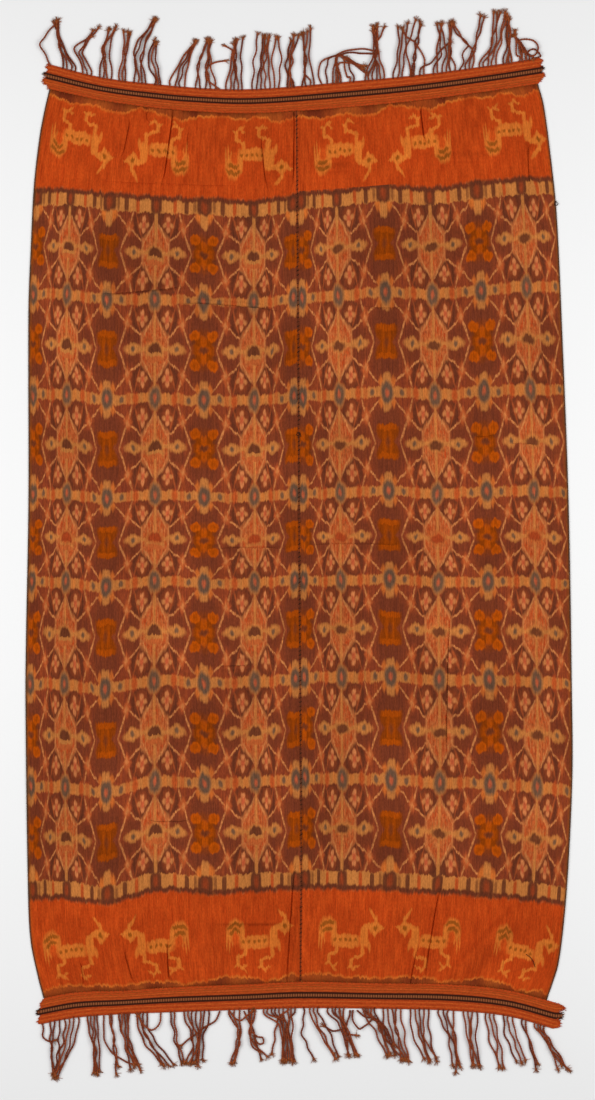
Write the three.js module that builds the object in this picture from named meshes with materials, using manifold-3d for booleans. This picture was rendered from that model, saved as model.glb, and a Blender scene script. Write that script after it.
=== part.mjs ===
// An ikat woven cloth laid out flat: two hand-woven panels sewn together along a centre seam,
// a ribbed band woven across each end, and a fringe of twisted cords beyond each band.
// Millimetres, +Z up. The origin lies on the floor under the middle of the cloth,
// +Y runs along the warp towards the top end and +X across the two panels.

import * as THREE from "three";
import Module from "manifold-3d";
import { mergeVertices } from "three/addons/utils/BufferGeometryUtils.js";

const wasm = await Module();
wasm.setup();

// Driving dimensions
const PANEL_THICKNESS = 1.5;
const BAND_THICKNESS = 2.2;
const SEWN_GAP = 0.3; // between pieces that are sewn edge to edge
const ROOT_STRIP_WIDTH = 4; // the outermost wefts of a band, which hold the fringe
const STRAND_WIDTH = 3;
const STRAND_HEIGHT = 2.8;
const STRAND_TIP_SHARE = 0.6; // a cord's width at its tip, as a share of its width
const ROOT_DEPTH = 2.5; // how far a cord reaches into its strip

// How finely the surfaces are divided
const PANEL_ROW_STEP = 72;
const PANEL_COLUMNS = 8;
const FINEST_STEP = 2.5; // rows and columns closer than this are dropped
const EDGE_STEP = 40; // along the edges of the bands and the root strips
const STRAND_SEGMENTS = 5;
const SETTLING_ROUNDS = 6; // rounds that find a cloth point between its curved edges
const FOLD_TAPER = 0.3; // share of a fold's run over which each end dies away

// Where the selvedges and the centre seam lie, from the bottom end to the top end
const LEFT_SELVEDGE = [
  { y: -908, x: -513 },
  { y: -862, x: -525 },
  { y: -792, x: -539 },
  { y: -692, x: -544 },
  { y: -312, x: -549 },
  { y: -192, x: -548 },
  { y: 88, x: -543 },
  { y: 468, x: -543 },
  { y: 602, x: -538 },
  { y: 718, x: -532 },
  { y: 813, x: -521 },
  { y: 867, x: -511 },
  { y: 910, x: -501 },
];
const RIGHT_SELVEDGE = [
  { y: -910, x: 494 },
  { y: -876, x: 506 },
  { y: -839, x: 517 },
  { y: -744, x: 529 },
  { y: -622, x: 538 },
  { y: -452, x: 545 },
  { y: -312, x: 544 },
  { y: 88, x: 537 },
  { y: 432, x: 524 },
  { y: 664, x: 513 },
  { y: 778, x: 501 },
  { y: 880, x: 487 },
  { y: 919, x: 476 },
];
const CENTRE_SEAM = [
  { y: -872, x: 1 },
  { y: -612, x: 2.4 },
  { y: -12, x: -1.4 },
  { y: 408, x: -3.4 },
  { y: 864, x: -7 },
];

// Each end band: where its inner edge, sewn to the panels, and its outer edge, with the fringe, lie
const TOP_BAND = [
  { x: -512, inner: 912, outer: 962 },
  { x: -397, inner: 887, outer: 933 },
  { x: -275, inner: 870, outer: 918 },
  { x: -191, inner: 864, outer: 911 },
  { x: -119, inner: 861, outer: 909 },
  { x: -48, inner: 863, outer: 912 },
  { x: 69, inner: 871, outer: 922 },
  { x: 230, inner: 886, outer: 937 },
  { x: 383, inner: 906, outer: 957 },
  { x: 490, inner: 922, outer: 974 },
];
const BOTTOM_BAND = [
  { x: -524, inner: -910, outer: -961 },
  { x: -447, inner: -896, outer: -947 },
  { x: -355, inner: -893, outer: -940 },
  { x: -256, inner: -886, outer: -936 },
  { x: -103, inner: -880, outer: -931 },
  { x: 0, inner: -875, outer: -928 },
  { x: 150, inner: -878, outer: -929 },
  { x: 301, inner: -880, outer: -933 },
  { x: 414, inner: -892, outer: -944 },
  { x: 510, inner: -916, outer: -970 },
];

// Cut threads at the ends of a band, from its outer to its inner edge:
// share is the place across the band, left and right how far the end stands at each side
const TOP_BAND_ENDS = [
  { share: 0, left: -500, right: 478 },
  { share: 0.14, left: -508, right: 486 },
  { share: 0.28, left: -503, right: 479 },
  { share: 0.42, left: -514, right: 488 },
  { share: 0.56, left: -507, right: 481 },
  { share: 0.7, left: -517, right: 491 },
  { share: 0.86, left: -506, right: 481 },
];
const BOTTOM_BAND_ENDS = [
  { share: 0, left: -517, right: 498 },
  { share: 0.14, left: -525, right: 514 },
  { share: 0.28, left: -516, right: 500 },
  { share: 0.42, left: -522, right: 522 },
  { share: 0.56, left: -513, right: 501 },
  { share: 0.7, left: -520, right: 517 },
  { share: 0.86, left: -515, right: 499 },
];

// Folds stand up from the floor as ridges along a line from (x1, y1) to (x2, y2).
// reach is half the width of a ridge and rise its height.
const LEFT_FOLDS = [
  { x1: -336, y1: 862, x2: -356, y2: 762, reach: 12, rise: 5 },
  { x1: -253, y1: 858, x2: -270, y2: 704, reach: 13, rise: 8 },
  { x1: -78, y1: 790, x2: -66, y2: 692, reach: 14, rise: 5 },
  { x1: -17, y1: 858, x2: -15, y2: 676, reach: 9, rise: 7 },
  { x1: -428, y1: 718, x2: -68, y2: 712, reach: 20, rise: 4 },
  { x1: -390, y1: 498, x2: -80, y2: 482, reach: 14, rise: 4 },
  { x1: -534, y1: -8, x2: -8, y2: -4, reach: 14, rise: 5 },
  { x1: -312, y1: -556, x2: -60, y2: -540, reach: 14, rise: 4 },
  { x1: -222, y1: -756, x2: -34, y2: -752, reach: 18, rise: 4 },
  { x1: -356, y1: -800, x2: -330, y2: -890, reach: 14, rise: 6 },
  { x1: -266, y1: -780, x2: -262, y2: -882, reach: 13, rise: 8 },
  { x1: -16, y1: -300, x2: -24, y2: -872, reach: 11, rise: 7 },
];
const RIGHT_FOLDS = [
  { x1: 238, y1: 884, x2: 250, y2: 790, reach: 15, rise: 7 },
  { x1: 90, y1: 866, x2: 152, y2: 752, reach: 30, rise: 7 },
  { x1: 318, y1: 884, x2: 380, y2: 800, reach: 28, rise: 6 },
  { x1: 264, y1: 764, x2: 460, y2: 768, reach: 20, rise: 4 },
  { x1: 454, y1: 812, x2: 458, y2: 704, reach: 12, rise: 4 },
  { x1: 90, y1: 476, x2: 320, y2: 470, reach: 14, rise: 3 },
  { x1: 8, y1: -4, x2: 528, y2: -2, reach: 14, rise: 5 },
  { x1: 274, y1: -690, x2: 219, y2: -872, reach: 16, rise: 8 },
  { x1: 424, y1: -716, x2: 318, y2: -852, reach: 32, rise: 8 },
];

// Fringe clumps, from left to right. from and to are where the outermost roots leave the band,
// count the cords, tipX and tipY the middle of their tips, pitch and rake the steps in x and y
// from tip to tip, stem how far the cords run straight out and swing how far they bow sideways.
const TOP_CLUMPS = [
  { from: -492, to: -452, count: 4, tipX: -486, tipY: 1042, pitch: 6, rake: 2, stem: 30, swing: -16 },
  { from: -441, to: -421, count: 3, tipX: -410, tipY: 1030, pitch: 7, rake: -2, stem: 40, swing: 0 },
  { from: -410, to: -378, count: 4, tipX: -378, tipY: 1028, pitch: 6, rake: 1, stem: 45, swing: 0 },
  { from: -368, to: -348, count: 3, tipX: -346, tipY: 1022, pitch: 6, rake: 2, stem: 40, swing: -4 },
  { from: -338, to: -306, count: 4, tipX: -292, tipY: 1018, pitch: 6, rake: -3, stem: 35, swing: -6 },
  { from: -294, to: -238, count: 6, tipX: -216, tipY: 998, pitch: 5, rake: -2, stem: 30, swing: -4 },
  { from: -226, to: -170, count: 6, tipX: -176, tipY: 1006, pitch: 5, rake: 1, stem: 30, swing: 0 },
  { from: -158, to: -112, count: 5, tipX: -130, tipY: 1010, pitch: 7, rake: 2, stem: 30, swing: 4 },
  { from: -100, to: -34, count: 7, tipX: -66, tipY: 1012, pitch: 7, rake: -1, stem: 30, swing: 0 },
  { from: -22, to: 24, count: 5, tipX: 2, tipY: 1020, pitch: 8, rake: 1, stem: 40, swing: 0 },
  { from: 36, to: 60, count: 3, tipX: 124, tipY: 1000, pitch: 2, rake: -9, stem: 60, swing: -24 },
  { from: 76, to: 112, count: 4, tipX: 116, tipY: 952, pitch: 6, rake: -3, stem: 14, swing: -4 },
  { from: 136, to: 176, count: 4, tipX: 164, tipY: 1024, pitch: 6, rake: -2, stem: 50, swing: 3 },
  { from: 188, to: 222, count: 4, tipX: 208, tipY: 1034, pitch: 9, rake: 2, stem: 45, swing: 0 },
  { from: 234, to: 296, count: 6, tipX: 286, tipY: 1036, pitch: 7, rake: 1, stem: 35, swing: -2 },
  { from: 308, to: 340, count: 4, tipX: 330, tipY: 1006, pitch: 8, rake: -2, stem: 20, swing: 3 },
  { from: 352, to: 412, count: 6, tipX: 398, tipY: 1062, pitch: 7, rake: -1, stem: 40, swing: -2 },
  { from: 424, to: 472, count: 5, tipX: 452, tipY: 1022, pitch: 8, rake: -2, stem: 30, swing: 10 },
];
const BOTTOM_CLUMPS = [
  { from: -508, to: -442, count: 6, tipX: -486, tipY: -1060, pitch: 6, rake: 1, stem: 40, swing: 0 },
  { from: -428, to: -398, count: 4, tipX: -410, tipY: -1062, pitch: 8, rake: -2, stem: 50, swing: 0 },
  { from: -388, to: -370, count: 3, tipX: -366, tipY: -1052, pitch: 6, rake: 1, stem: 45, swing: 0 },
  { from: -360, to: -338, count: 3, tipX: -332, tipY: -1046, pitch: 7, rake: -1, stem: 40, swing: 0 },
  { from: -326, to: -284, count: 5, tipX: -274, tipY: -1046, pitch: 8, rake: 2, stem: 30, swing: -6 },
  { from: -270, to: -226, count: 5, tipX: -236, tipY: -1034, pitch: 6, rake: 1, stem: 30, swing: 0 },
  { from: -214, to: -160, count: 6, tipX: -194, tipY: -1042, pitch: 6, rake: -2, stem: 24, swing: 8 },
  { from: -146, to: -112, count: 4, tipX: -134, tipY: -1036, pitch: 7, rake: 1, stem: 30, swing: 4 },
  { from: -102, to: -78, count: 3, tipX: -82, tipY: -1026, pitch: 7, rake: 2, stem: 40, swing: 0 },
  { from: -66, to: 0, count: 7, tipX: -24, tipY: -1030, pitch: 7, rake: -1, stem: 30, swing: 0 },
  { from: 10, to: 24, count: 2, tipX: 24, tipY: -1032, pitch: 8, rake: 2, stem: 40, swing: 0 },
  { from: 34, to: 66, count: 4, tipX: 76, tipY: -1020, pitch: 8, rake: 3, stem: 30, swing: -4 },
  { from: 76, to: 104, count: 4, tipX: 116, tipY: -1008, pitch: 6, rake: 4, stem: 24, swing: -4 },
  { from: 118, to: 148, count: 4, tipX: 168, tipY: -1020, pitch: 7, rake: 2, stem: 30, swing: -6 },
  { from: 160, to: 190, count: 4, tipX: 204, tipY: -1028, pitch: 7, rake: 1, stem: 40, swing: 0 },
  { from: 202, to: 234, count: 4, tipX: 232, tipY: -1038, pitch: 6, rake: -1, stem: 40, swing: 0 },
  { from: 246, to: 280, count: 4, tipX: 264, tipY: -1032, pitch: 7, rake: 1, stem: 40, swing: 0 },
  { from: 292, to: 316, count: 3, tipX: 314, tipY: -1044, pitch: 6, rake: -1, stem: 40, swing: 0 },
  { from: 328, to: 374, count: 5, tipX: 354, tipY: -1040, pitch: 7, rake: 1, stem: 35, swing: 0 },
  { from: 386, to: 416, count: 4, tipX: 422, tipY: -1042, pitch: 9, rake: 2, stem: 40, swing: -4 },
  { from: 428, to: 448, count: 3, tipX: 476, tipY: -1044, pitch: 9, rake: -1, stem: 40, swing: -6 },
  { from: 460, to: 488, count: 4, tipX: 533.5, tipY: -1042, pitch: 10, rake: 2, stem: 30, swing: -8 },
];

// A smooth curve through a table's rows: column "to" read at any value of column "from"
function curveThrough(rows, from, to) {
  const last = rows.length - 1;
  const slope = (a, b) => (rows[b][to] - rows[a][to]) / (rows[b][from] - rows[a][from]);
  const slopes = rows.map((row, i) => slope(Math.max(i - 1, 0), Math.min(i + 1, last)));
  return (place) => {
    const next = rows.findIndex((row) => row[from] > place);
    const b = next === -1 ? last : Math.max(next, 1);
    const a = b - 1;
    const width = rows[b][from] - rows[a][from];
    const share = THREE.MathUtils.clamp((place - rows[a][from]) / width, 0, 1);
    const ease = share * share * (3 - 2 * share);
    const rest = 1 - share;
    const bend = share * rest * width * (rest * slopes[a] - share * slopes[b]);
    return THREE.MathUtils.lerp(rows[a][to], rows[b][to], ease) + bend;
  };
}

const leftSelvedge = curveThrough(LEFT_SELVEDGE, "y", "x");
const rightSelvedge = curveThrough(RIGHT_SELVEDGE, "y", "x");
const centreSeam = curveThrough(CENTRE_SEAM, "y", "x");
const topSeam = curveThrough(TOP_BAND, "x", "inner");
const bottomSeam = curveThrough(BOTTOM_BAND, "x", "inner");

// The point of a panel at a share across it, from its left edge, and along it, from its bottom end
function clothPoint(panel, across, along) {
  const point = new THREE.Vector2();
  for (let round = 0; round < SETTLING_ROUNDS; round += 1) {
    const bottom = bottomSeam(point.x) + SEWN_GAP / 2;
    const top = topSeam(point.x) - SEWN_GAP / 2;
    point.y = THREE.MathUtils.lerp(bottom, top, along);
    point.x = THREE.MathUtils.lerp(panel.leftEdge(point.y), panel.rightEdge(point.y), across);
  }
  return point;
}

// How high one fold lifts the cloth at a point
function foldLift(fold, point) {
  const run = new THREE.Vector2(fold.x2 - fold.x1, fold.y2 - fold.y1);
  const away = new THREE.Vector2(point.x - fold.x1, point.y - fold.y1);
  const along = away.dot(run) / run.lengthSq();
  const aside = Math.abs(away.cross(run)) / run.length();
  if (along <= 0 || along >= 1 || aside >= fold.reach) return 0;
  const ends = THREE.MathUtils.smoothstep(Math.min(along, 1 - along), 0, FOLD_TAPER);
  const section = 0.5 + 0.5 * Math.cos((Math.PI * aside) / fold.reach);
  return fold.rise * ends * section;
}

function clothLift(panel, point) {
  return Math.max(...panel.folds.map((fold) => foldLift(fold, point)));
}

// Values in order, without those that crowd the one before; the first and the last always stay
function spacedOut(values, finest) {
  const sorted = values.toSorted((a, b) => a - b);
  const last = sorted.at(-1);
  const kept = [sorted[0]];
  for (const value of sorted) {
    if (value - kept.at(-1) >= finest && last - value >= finest) kept.push(value);
  }
  kept.push(last);
  return kept;
}

// Folds that run more along the warp than across it
function isPleat(fold) {
  return Math.abs(fold.y2 - fold.y1) > Math.abs(fold.x2 - fold.x1);
}

// Shares along a panel where it has a row of points: even rows, and three along each crossways fold
function panelRows(panel) {
  const length = topSeam(panel.middleX) - bottomSeam(panel.middleX);
  const count = Math.round(length / PANEL_ROW_STEP);
  const rows = Array.from({ length: count + 1 }, (unused, i) => i / count);
  for (const fold of panel.folds.filter((entry) => !isPleat(entry))) {
    const x = (fold.x1 + fold.x2) / 2;
    const y = (fold.y1 + fold.y2) / 2;
    const middle = (y - bottomSeam(x)) / (topSeam(x) - bottomSeam(x));
    for (const side of [-1, 0, 1]) rows.push(middle + (side * fold.reach) / length);
  }
  return spacedOut(rows, FINEST_STEP / length);
}

// Shares across a panel where a row has points: even columns, and five over each pleat it meets
function panelColumns(panel, along) {
  const columns = Array.from({ length: PANEL_COLUMNS + 1 }, (unused, i) => i / PANEL_COLUMNS);
  const start = clothPoint(panel, 0, along);
  const end = clothPoint(panel, 1, along);
  const width = end.x - start.x;
  for (const fold of panel.folds.filter(isPleat)) {
    const guess = ((fold.x1 + fold.x2) / 2 - start.x) / width;
    const y = clothPoint(panel, guess, along).y;
    const run = (y - fold.y1) / (fold.y2 - fold.y1);
    if (run < 0 || run > 1) continue;
    const middle = (THREE.MathUtils.lerp(fold.x1, fold.x2, run) - start.x) / width;
    const slant = Math.hypot(fold.x2 - fold.x1, fold.y2 - fold.y1) / Math.abs(fold.y2 - fold.y1);
    for (const side of [-1, -0.5, 0, 0.5, 1]) {
      const column = middle + (side * fold.reach * slant) / width;
      if (column > 0 && column < 1) columns.push(column);
    }
  }
  return spacedOut(columns, FINEST_STEP / width);
}

// Triangles between two rows of points that may differ in number, anticlockwise from above
function zipRows(lower, upper, triangles) {
  let i = 0;
  let j = 0;
  while (i < lower.length - 1 || j < upper.length - 1) {
    const upperDone = j === upper.length - 1;
    const lowerNext = i < lower.length - 1 && lower[i + 1].across <= upper[j + 1]?.across;
    if (upperDone || lowerNext) {
      triangles.push([lower[i].index, lower[i + 1].index, upper[j].index]);
      i += 1;
    } else {
      triangles.push([lower[i].index, upper[j + 1].index, upper[j].index]);
      j += 1;
    }
  }
}

function geometryFrom(positions, triangles) {
  const geometry = new THREE.BufferGeometry();
  geometry.setAttribute("position", new THREE.Float32BufferAttribute(positions, 3));
  geometry.setIndex(triangles.flat());
  return geometry;
}

// One woven panel: a sheet of even thickness that lies on the floor and rises over its folds
function panelGeometry(panel) {
  const upper = [];
  const lower = [];
  const rows = panelRows(panel).map((along) =>
    panelColumns(panel, along).map((across) => {
      const point = clothPoint(panel, across, along);
      const lift = clothLift(panel, point);
      upper.push(point.x, point.y, lift + PANEL_THICKNESS);
      lower.push(point.x, point.y, lift);
      return { across, index: upper.length / 3 - 1 };
    }),
  );
  const face = [];
  for (let i = 0; i < rows.length - 1; i += 1) zipRows(rows[i], rows[i + 1], face);
  const below = upper.length / 3;
  const underside = face.map(([a, b, c]) => [a + below, c + below, b + below]);
  const rim = [
    ...rows[0],
    ...rows.slice(1).map((row) => row.at(-1)),
    ...rows.at(-1).slice(0, -1).reverse(),
    ...rows.slice(1, -1).map((row) => row[0]).reverse(),
  ].map((corner) => corner.index);
  const sides = rim.flatMap((a, i) => {
    const b = rim[(i + 1) % rim.length];
    return [[a, a + below, b + below], [a, b + below, b]];
  });
  return geometryFrom([...upper, ...lower], [...face, ...underside, ...sides]);
}

// Points along a band's curved edge from one x to another, moved inwards by some distance
function edgePoints(edge, inwards, fromX, toX) {
  const count = Math.max(1, Math.round(Math.abs(toX - fromX) / EDGE_STEP));
  return Array.from({ length: count + 1 }, (unused, i) => {
    const x = THREE.MathUtils.lerp(fromX, toX, i / count);
    return new THREE.Vector2(x, edge(x) + inwards);
  });
}

// The ragged line of cut threads at one end of a band, from its outer to its inner edge
function raggedEnd(end, side) {
  return end.ends.slice(1).map((row) => {
    const x = row[side];
    const outer = end.outer(x) + end.inwards * (ROOT_STRIP_WIDTH + SEWN_GAP);
    const inner = end.inner(x) - end.inwards * SEWN_GAP;
    return new THREE.Vector2(x, THREE.MathUtils.lerp(outer, inner, row.share));
  });
}

function slab(outline) {
  return new THREE.ExtrudeGeometry(new THREE.Shape(outline), { depth: BAND_THICKNESS, bevelEnabled: false });
}

// The band's sewn edge, from left to right: it follows the ends of both panels, a sewn gap away
function sewnEdge(end) {
  const panels = [leftPanel, rightPanel];
  const ends = panels.flatMap((panel) =>
    panelColumns(panel, end.along).map((across) => clothPoint(panel, across, end.along)),
  );
  return ends.map((point) => new THREE.Vector2(point.x, point.y - end.inwards * SEWN_GAP));
}

function bandGeometry(end) {
  const { left, right } = end.ends[0];
  const outerInset = end.inwards * (ROOT_STRIP_WIDTH + SEWN_GAP);
  return slab([
    ...edgePoints(end.outer, outerInset, left, right),
    ...raggedEnd(end, "right"),
    ...sewnEdge(end).reverse(),
    ...raggedEnd(end, "left").reverse(),
  ]);
}

// The strip of outermost wefts that holds the roots of the fringe
function rootStripGeometry(end) {
  const { left, right } = end.ends[0];
  const strip = end.inwards * ROOT_STRIP_WIDTH;
  return slab([...edgePoints(end.outer, strip, left, right), ...edgePoints(end.outer, 0, right, left)]);
}

// One fringe cord as a three-sided bar that lies flat on the floor along its route
function strandGeometry(route) {
  const points = route.getPoints(STRAND_SEGMENTS);
  const positions = [];
  const triangles = [];
  points.forEach((point, i) => {
    const heading = route.getTangent(i / STRAND_SEGMENTS);
    const width = STRAND_WIDTH * THREE.MathUtils.lerp(1, STRAND_TIP_SHARE, i / STRAND_SEGMENTS);
    const aside = new THREE.Vector2(heading.y, -heading.x).multiplyScalar(width / 2);
    positions.push(point.x + aside.x, point.y + aside.y, 0);
    positions.push(point.x - aside.x, point.y - aside.y, 0);
    positions.push(point.x, point.y, STRAND_HEIGHT);
    if (i === 0) return;
    const here = i * 3;
    for (const side of [0, 1, 2]) {
      const next = (side + 1) % 3;
      triangles.push([here - 3 + side, here - 3 + next, here + next]);
      triangles.push([here - 3 + side, here + next, here + side]);
    }
  });
  const tip = STRAND_SEGMENTS * 3;
  triangles.push([0, 2, 1], [tip, tip + 1, tip + 2]);
  return geometryFrom(positions, triangles);
}

// The route of one cord of a clump: straight out of the band, then in a soft bow to its tip
function strandRoute(end, clump, order) {
  const place = clump.count === 1 ? 0.5 : order / (clump.count - 1);
  const x = THREE.MathUtils.lerp(clump.from, clump.to, place);
  const root = new THREE.Vector2(x, end.outer(x) + end.inwards * ROOT_DEPTH);
  const steps = order - (clump.count - 1) / 2;
  const tip = new THREE.Vector2(clump.tipX + steps * clump.pitch, clump.tipY + steps * clump.rake);
  const out = new THREE.Vector2(x, root.y - end.inwards * clump.stem);
  const turn = out.clone().lerp(tip, 0.5);
  turn.x += clump.swing;
  return new THREE.CubicBezierCurve(root, out, turn, tip);
}

function solidFrom(geometry) {
  geometry.deleteAttribute("normal");
  geometry.deleteAttribute("uv");
  const merged = mergeVertices(geometry);
  const vertProperties = new Float32Array(merged.attributes.position.array);
  const triVerts = new Uint32Array(merged.index.array);
  return new wasm.Manifold(new wasm.Mesh({ numProp: 3, vertProperties, triVerts }));
}

// The fringe of one end: its cords joined to the strip of the band that holds their roots
function fringeGeometry(end) {
  let fringe = solidFrom(rootStripGeometry(end));
  for (const clump of end.clumps) {
    for (let order = 0; order < clump.count; order += 1) {
      fringe = fringe.add(solidFrom(strandGeometry(strandRoute(end, clump, order))));
    }
  }
  const mesh = fringe.getMesh();
  const geometry = new THREE.BufferGeometry();
  geometry.setAttribute("position", new THREE.BufferAttribute(mesh.vertProperties, 3));
  geometry.setIndex(new THREE.BufferAttribute(mesh.triVerts, 1));
  return geometry;
}

const leftPanel = {
  leftEdge: leftSelvedge,
  rightEdge: (y) => centreSeam(y) - SEWN_GAP / 2,
  middleX: -270,
  folds: LEFT_FOLDS,
};
const rightPanel = {
  leftEdge: (y) => centreSeam(y) + SEWN_GAP / 2,
  rightEdge: rightSelvedge,
  middleX: 270,
  folds: RIGHT_FOLDS,
};
const topEnd = {
  inner: topSeam,
  outer: curveThrough(TOP_BAND, "x", "outer"),
  ends: TOP_BAND_ENDS,
  clumps: TOP_CLUMPS,
  along: 1,
  inwards: -1,
};
const bottomEnd = {
  inner: bottomSeam,
  outer: curveThrough(BOTTOM_BAND, "x", "outer"),
  ends: BOTTOM_BAND_ENDS,
  clumps: BOTTOM_CLUMPS,
  along: 0,
  inwards: 1,
};

const ikatCotton = new THREE.MeshStandardMaterial({ color: "#7a3b24", roughness: 0.9, metalness: 0 });
const bandCotton = new THREE.MeshStandardMaterial({ color: "#b9481e", roughness: 0.88, metalness: 0 });
const fringeYarn = new THREE.MeshStandardMaterial({ color: "#6b2a1a", roughness: 0.9, metalness: 0 });

function namedMesh(name, geometry, material) {
  const mesh = new THREE.Mesh(geometry, material);
  mesh.name = name;
  return mesh;
}

const cloth = new THREE.Group();
cloth.add(namedMesh("cloth_panel_left", panelGeometry(leftPanel), ikatCotton));
cloth.add(namedMesh("cloth_panel_right", panelGeometry(rightPanel), ikatCotton));
cloth.add(namedMesh("end_band_top", bandGeometry(topEnd), bandCotton));
cloth.add(namedMesh("end_band_bottom", bandGeometry(bottomEnd), bandCotton));
cloth.add(namedMesh("fringe_top", fringeGeometry(topEnd), fringeYarn));
cloth.add(namedMesh("fringe_bottom", fringeGeometry(bottomEnd), fringeYarn));

export default cloth;
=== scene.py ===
"""An ikat woven cloth laid out flat: two resist-dyed panels with a band and a fringe at each end."""

import math

import bmesh
import bpy
import numpy as np
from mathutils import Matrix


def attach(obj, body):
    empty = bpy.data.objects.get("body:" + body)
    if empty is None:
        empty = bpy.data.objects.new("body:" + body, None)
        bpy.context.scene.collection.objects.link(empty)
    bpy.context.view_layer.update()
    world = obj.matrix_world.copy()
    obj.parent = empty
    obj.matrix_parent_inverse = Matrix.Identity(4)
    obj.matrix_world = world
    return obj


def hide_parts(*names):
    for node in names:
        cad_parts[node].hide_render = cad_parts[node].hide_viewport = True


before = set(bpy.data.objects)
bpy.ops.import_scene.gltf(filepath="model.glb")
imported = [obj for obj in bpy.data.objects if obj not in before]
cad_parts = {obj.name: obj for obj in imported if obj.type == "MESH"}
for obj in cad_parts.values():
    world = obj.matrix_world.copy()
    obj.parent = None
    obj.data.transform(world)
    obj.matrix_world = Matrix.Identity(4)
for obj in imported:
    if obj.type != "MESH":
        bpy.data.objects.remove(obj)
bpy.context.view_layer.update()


# Woven panels
# Two loom widths of warp-faced handspun cotton, sewn side by side. The pattern is tied and dyed into the
# warp before it is woven, so its edges feather along the threads. The cloth lies on the floor and is drawn
# up into small pleats where it is eased into the end bands.

MM = 0.001
PANEL_THICKNESS = 1.3 * MM
COLUMN_STEP = 8.0  # millimetres between the points of the mesh where the cloth is flat
ROW_STEP = 10.0
FOLD_CUTS = 4  # cuts that make the mesh finer where the cloth folds
SETTLING_ROUNDS = 6  # a place's x and y lean on each other, so they are found in a few rounds

LEFT_SELVEDGE = [  # y, x in millimetres, from the bottom end to the top end
    (-908, -513), (-862, -525), (-792, -539), (-692, -544), (-312, -549), (-192, -548), (88, -543),
    (468, -543), (602, -538), (718, -532), (813, -521), (867, -511), (910, -501),
]
RIGHT_SELVEDGE = [  # y, x
    (-910, 494), (-876, 506), (-839, 517), (-744, 529), (-622, 538), (-452, 545), (-312, 544),
    (88, 537), (432, 524), (664, 513), (778, 501), (880, 487), (919, 476),
]
CENTRE_SEAM = [(-872, 1), (-612, 2.4), (-12, -1.4), (408, -3.4), (864, -7)]  # y, x
TOP_SEAM = [  # x, y of the line where the panels are sewn to the top band
    (-512, 912), (-397, 887), (-275, 870), (-191, 864), (-119, 861), (-48, 863), (69, 871), (230, 886),
    (383, 906), (490, 922),
]
BOTTOM_SEAM = [  # x, y
    (-524, -910), (-447, -896), (-355, -893), (-256, -886), (-103, -880), (0, -875), (150, -878),
    (301, -880), (414, -892), (510, -916),
]


def curve_through(rows, places):
    """A smooth curve through (place, value) rows, read at an array of places."""
    knots, values = np.array(rows, float).T
    last = len(knots) - 1
    order = np.arange(last + 1)
    before = np.maximum(order - 1, 0)
    after = np.minimum(order + 1, last)
    slopes = (values[after] - values[before]) / (knots[after] - knots[before])
    b = np.clip(np.searchsorted(knots, places, side="right"), 1, last)
    a = b - 1
    width = knots[b] - knots[a]
    share = np.clip((places - knots[a]) / width, 0, 1)
    rest = 1 - share
    bend = share * rest * width * (rest * slopes[a] - share * slopes[b])
    ease = share * share * (3 - 2 * share)
    return values[a] + (values[b] - values[a]) * ease + bend


def cloth_points(edges, across, along):
    """Millimetre places on a panel between its two edges, at shares across and along it."""
    x = np.zeros_like(across)
    for settling_round in range(SETTLING_ROUNDS):
        bottom = curve_through(BOTTOM_SEAM, x)
        top = curve_through(TOP_SEAM, x)
        y = bottom + (top - bottom) * along
        left = curve_through(edges[0], y)
        right = curve_through(edges[1], y)
        x = left + (right - left) * across
    return x, y


# Folds: a ridge from (x1, y1) to (x2, y2), with half its width, its height, and how far its crest leans to
# its right (towards 1) or left (towards -1). One that leans far has a crease at its foot there, and its two
# ends are the crease's. The tuck beside the top of the seam lifts both panels.
SEAM_TUCK = (-11, 900, -13, 690, 8, 6, -0.6)
LEFT_FOLDS = [
    (-336, 862, -356, 762, 11, 4.5, -0.6), (-248, 900, -277, 690, 12, 7, -0.6),
    (-226, 830, -226, 770, 7, 3, 0.6), (-308, 868, -306, 840, 7, 4, 0.5), (-82, 840, -66, 690, 12, 4.5, 0.6),
    SEAM_TUCK, (-440, 724, -75, 712, 9, 2.2, 0.6), (-425, 494, -205, 514, 9, 6, 0.6),
    (-262, 487, -20, 468, 9, 6, -0.6), (-534, -8, -8, -4, 12, 2.4, 0.3), (-190, -6, -10, -6, 8, 5, -0.6),
    (-172, -246, -92, -244, 8, 3.4, 0.6), (-102, -484, -20, -486, 8, 3.4, -0.6),
    (-312, -556, -214, -556, 8, 3.6, 0.6), (-190, -752, -16, -750, 14, 6, 0.4),
    (-356, -800, -330, -890, 12, 5, 0.6), (-438, -826, -431, -890, 9, 4, -0.6),
    (-266, -780, -262, -886, 12, 7, 0.6), (-9, -600, -31, -930, 6, 6, 0.6),
]
RIGHT_FOLDS = [
    SEAM_TUCK, (238, 888, 250, 790, 13, 6.5, 0.6), (86, 871, 160, 793, 22, 8, 0.4),
    (322, 897, 384, 827, 22, 8, 0.4), (256, 773, 400, 775, 16, 7, 0.4),
    (454, 812, 458, 704, 12, 4, 0.5), (16, 750, 120, 755, 14, 7, 0.4),
    (118, 472, 216, 470, 8, 3.4, 0.6), (344, 212, 396, 216, 7, 3, 0.6), (416, 204, 478, 200, 7, 3, -0.6),
    (8, -4, 528, -2, 12, 2.4, 0.3), (2, 2, 220, 1, 8, 5, -0.6), (298, -100, 290, -480, 12, 4, 0.6),
    (282, -660, 243, -900, 10, 6, 0.6), (236, -790, 214, -910, 8, 5, 0.6),
    (462, -715, 290, -893, 30, 14, 0.44),
]
FOLD_TAPER = 0.3
STEEP = 0.45  # folds that lean more than this are tipped over, and TIP_OVER is how far past their foot
TIP_OVER = 1.2
SLIT = 5.5  # from the foot of a tipped fold to where the cloth beyond it has risen again
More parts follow.
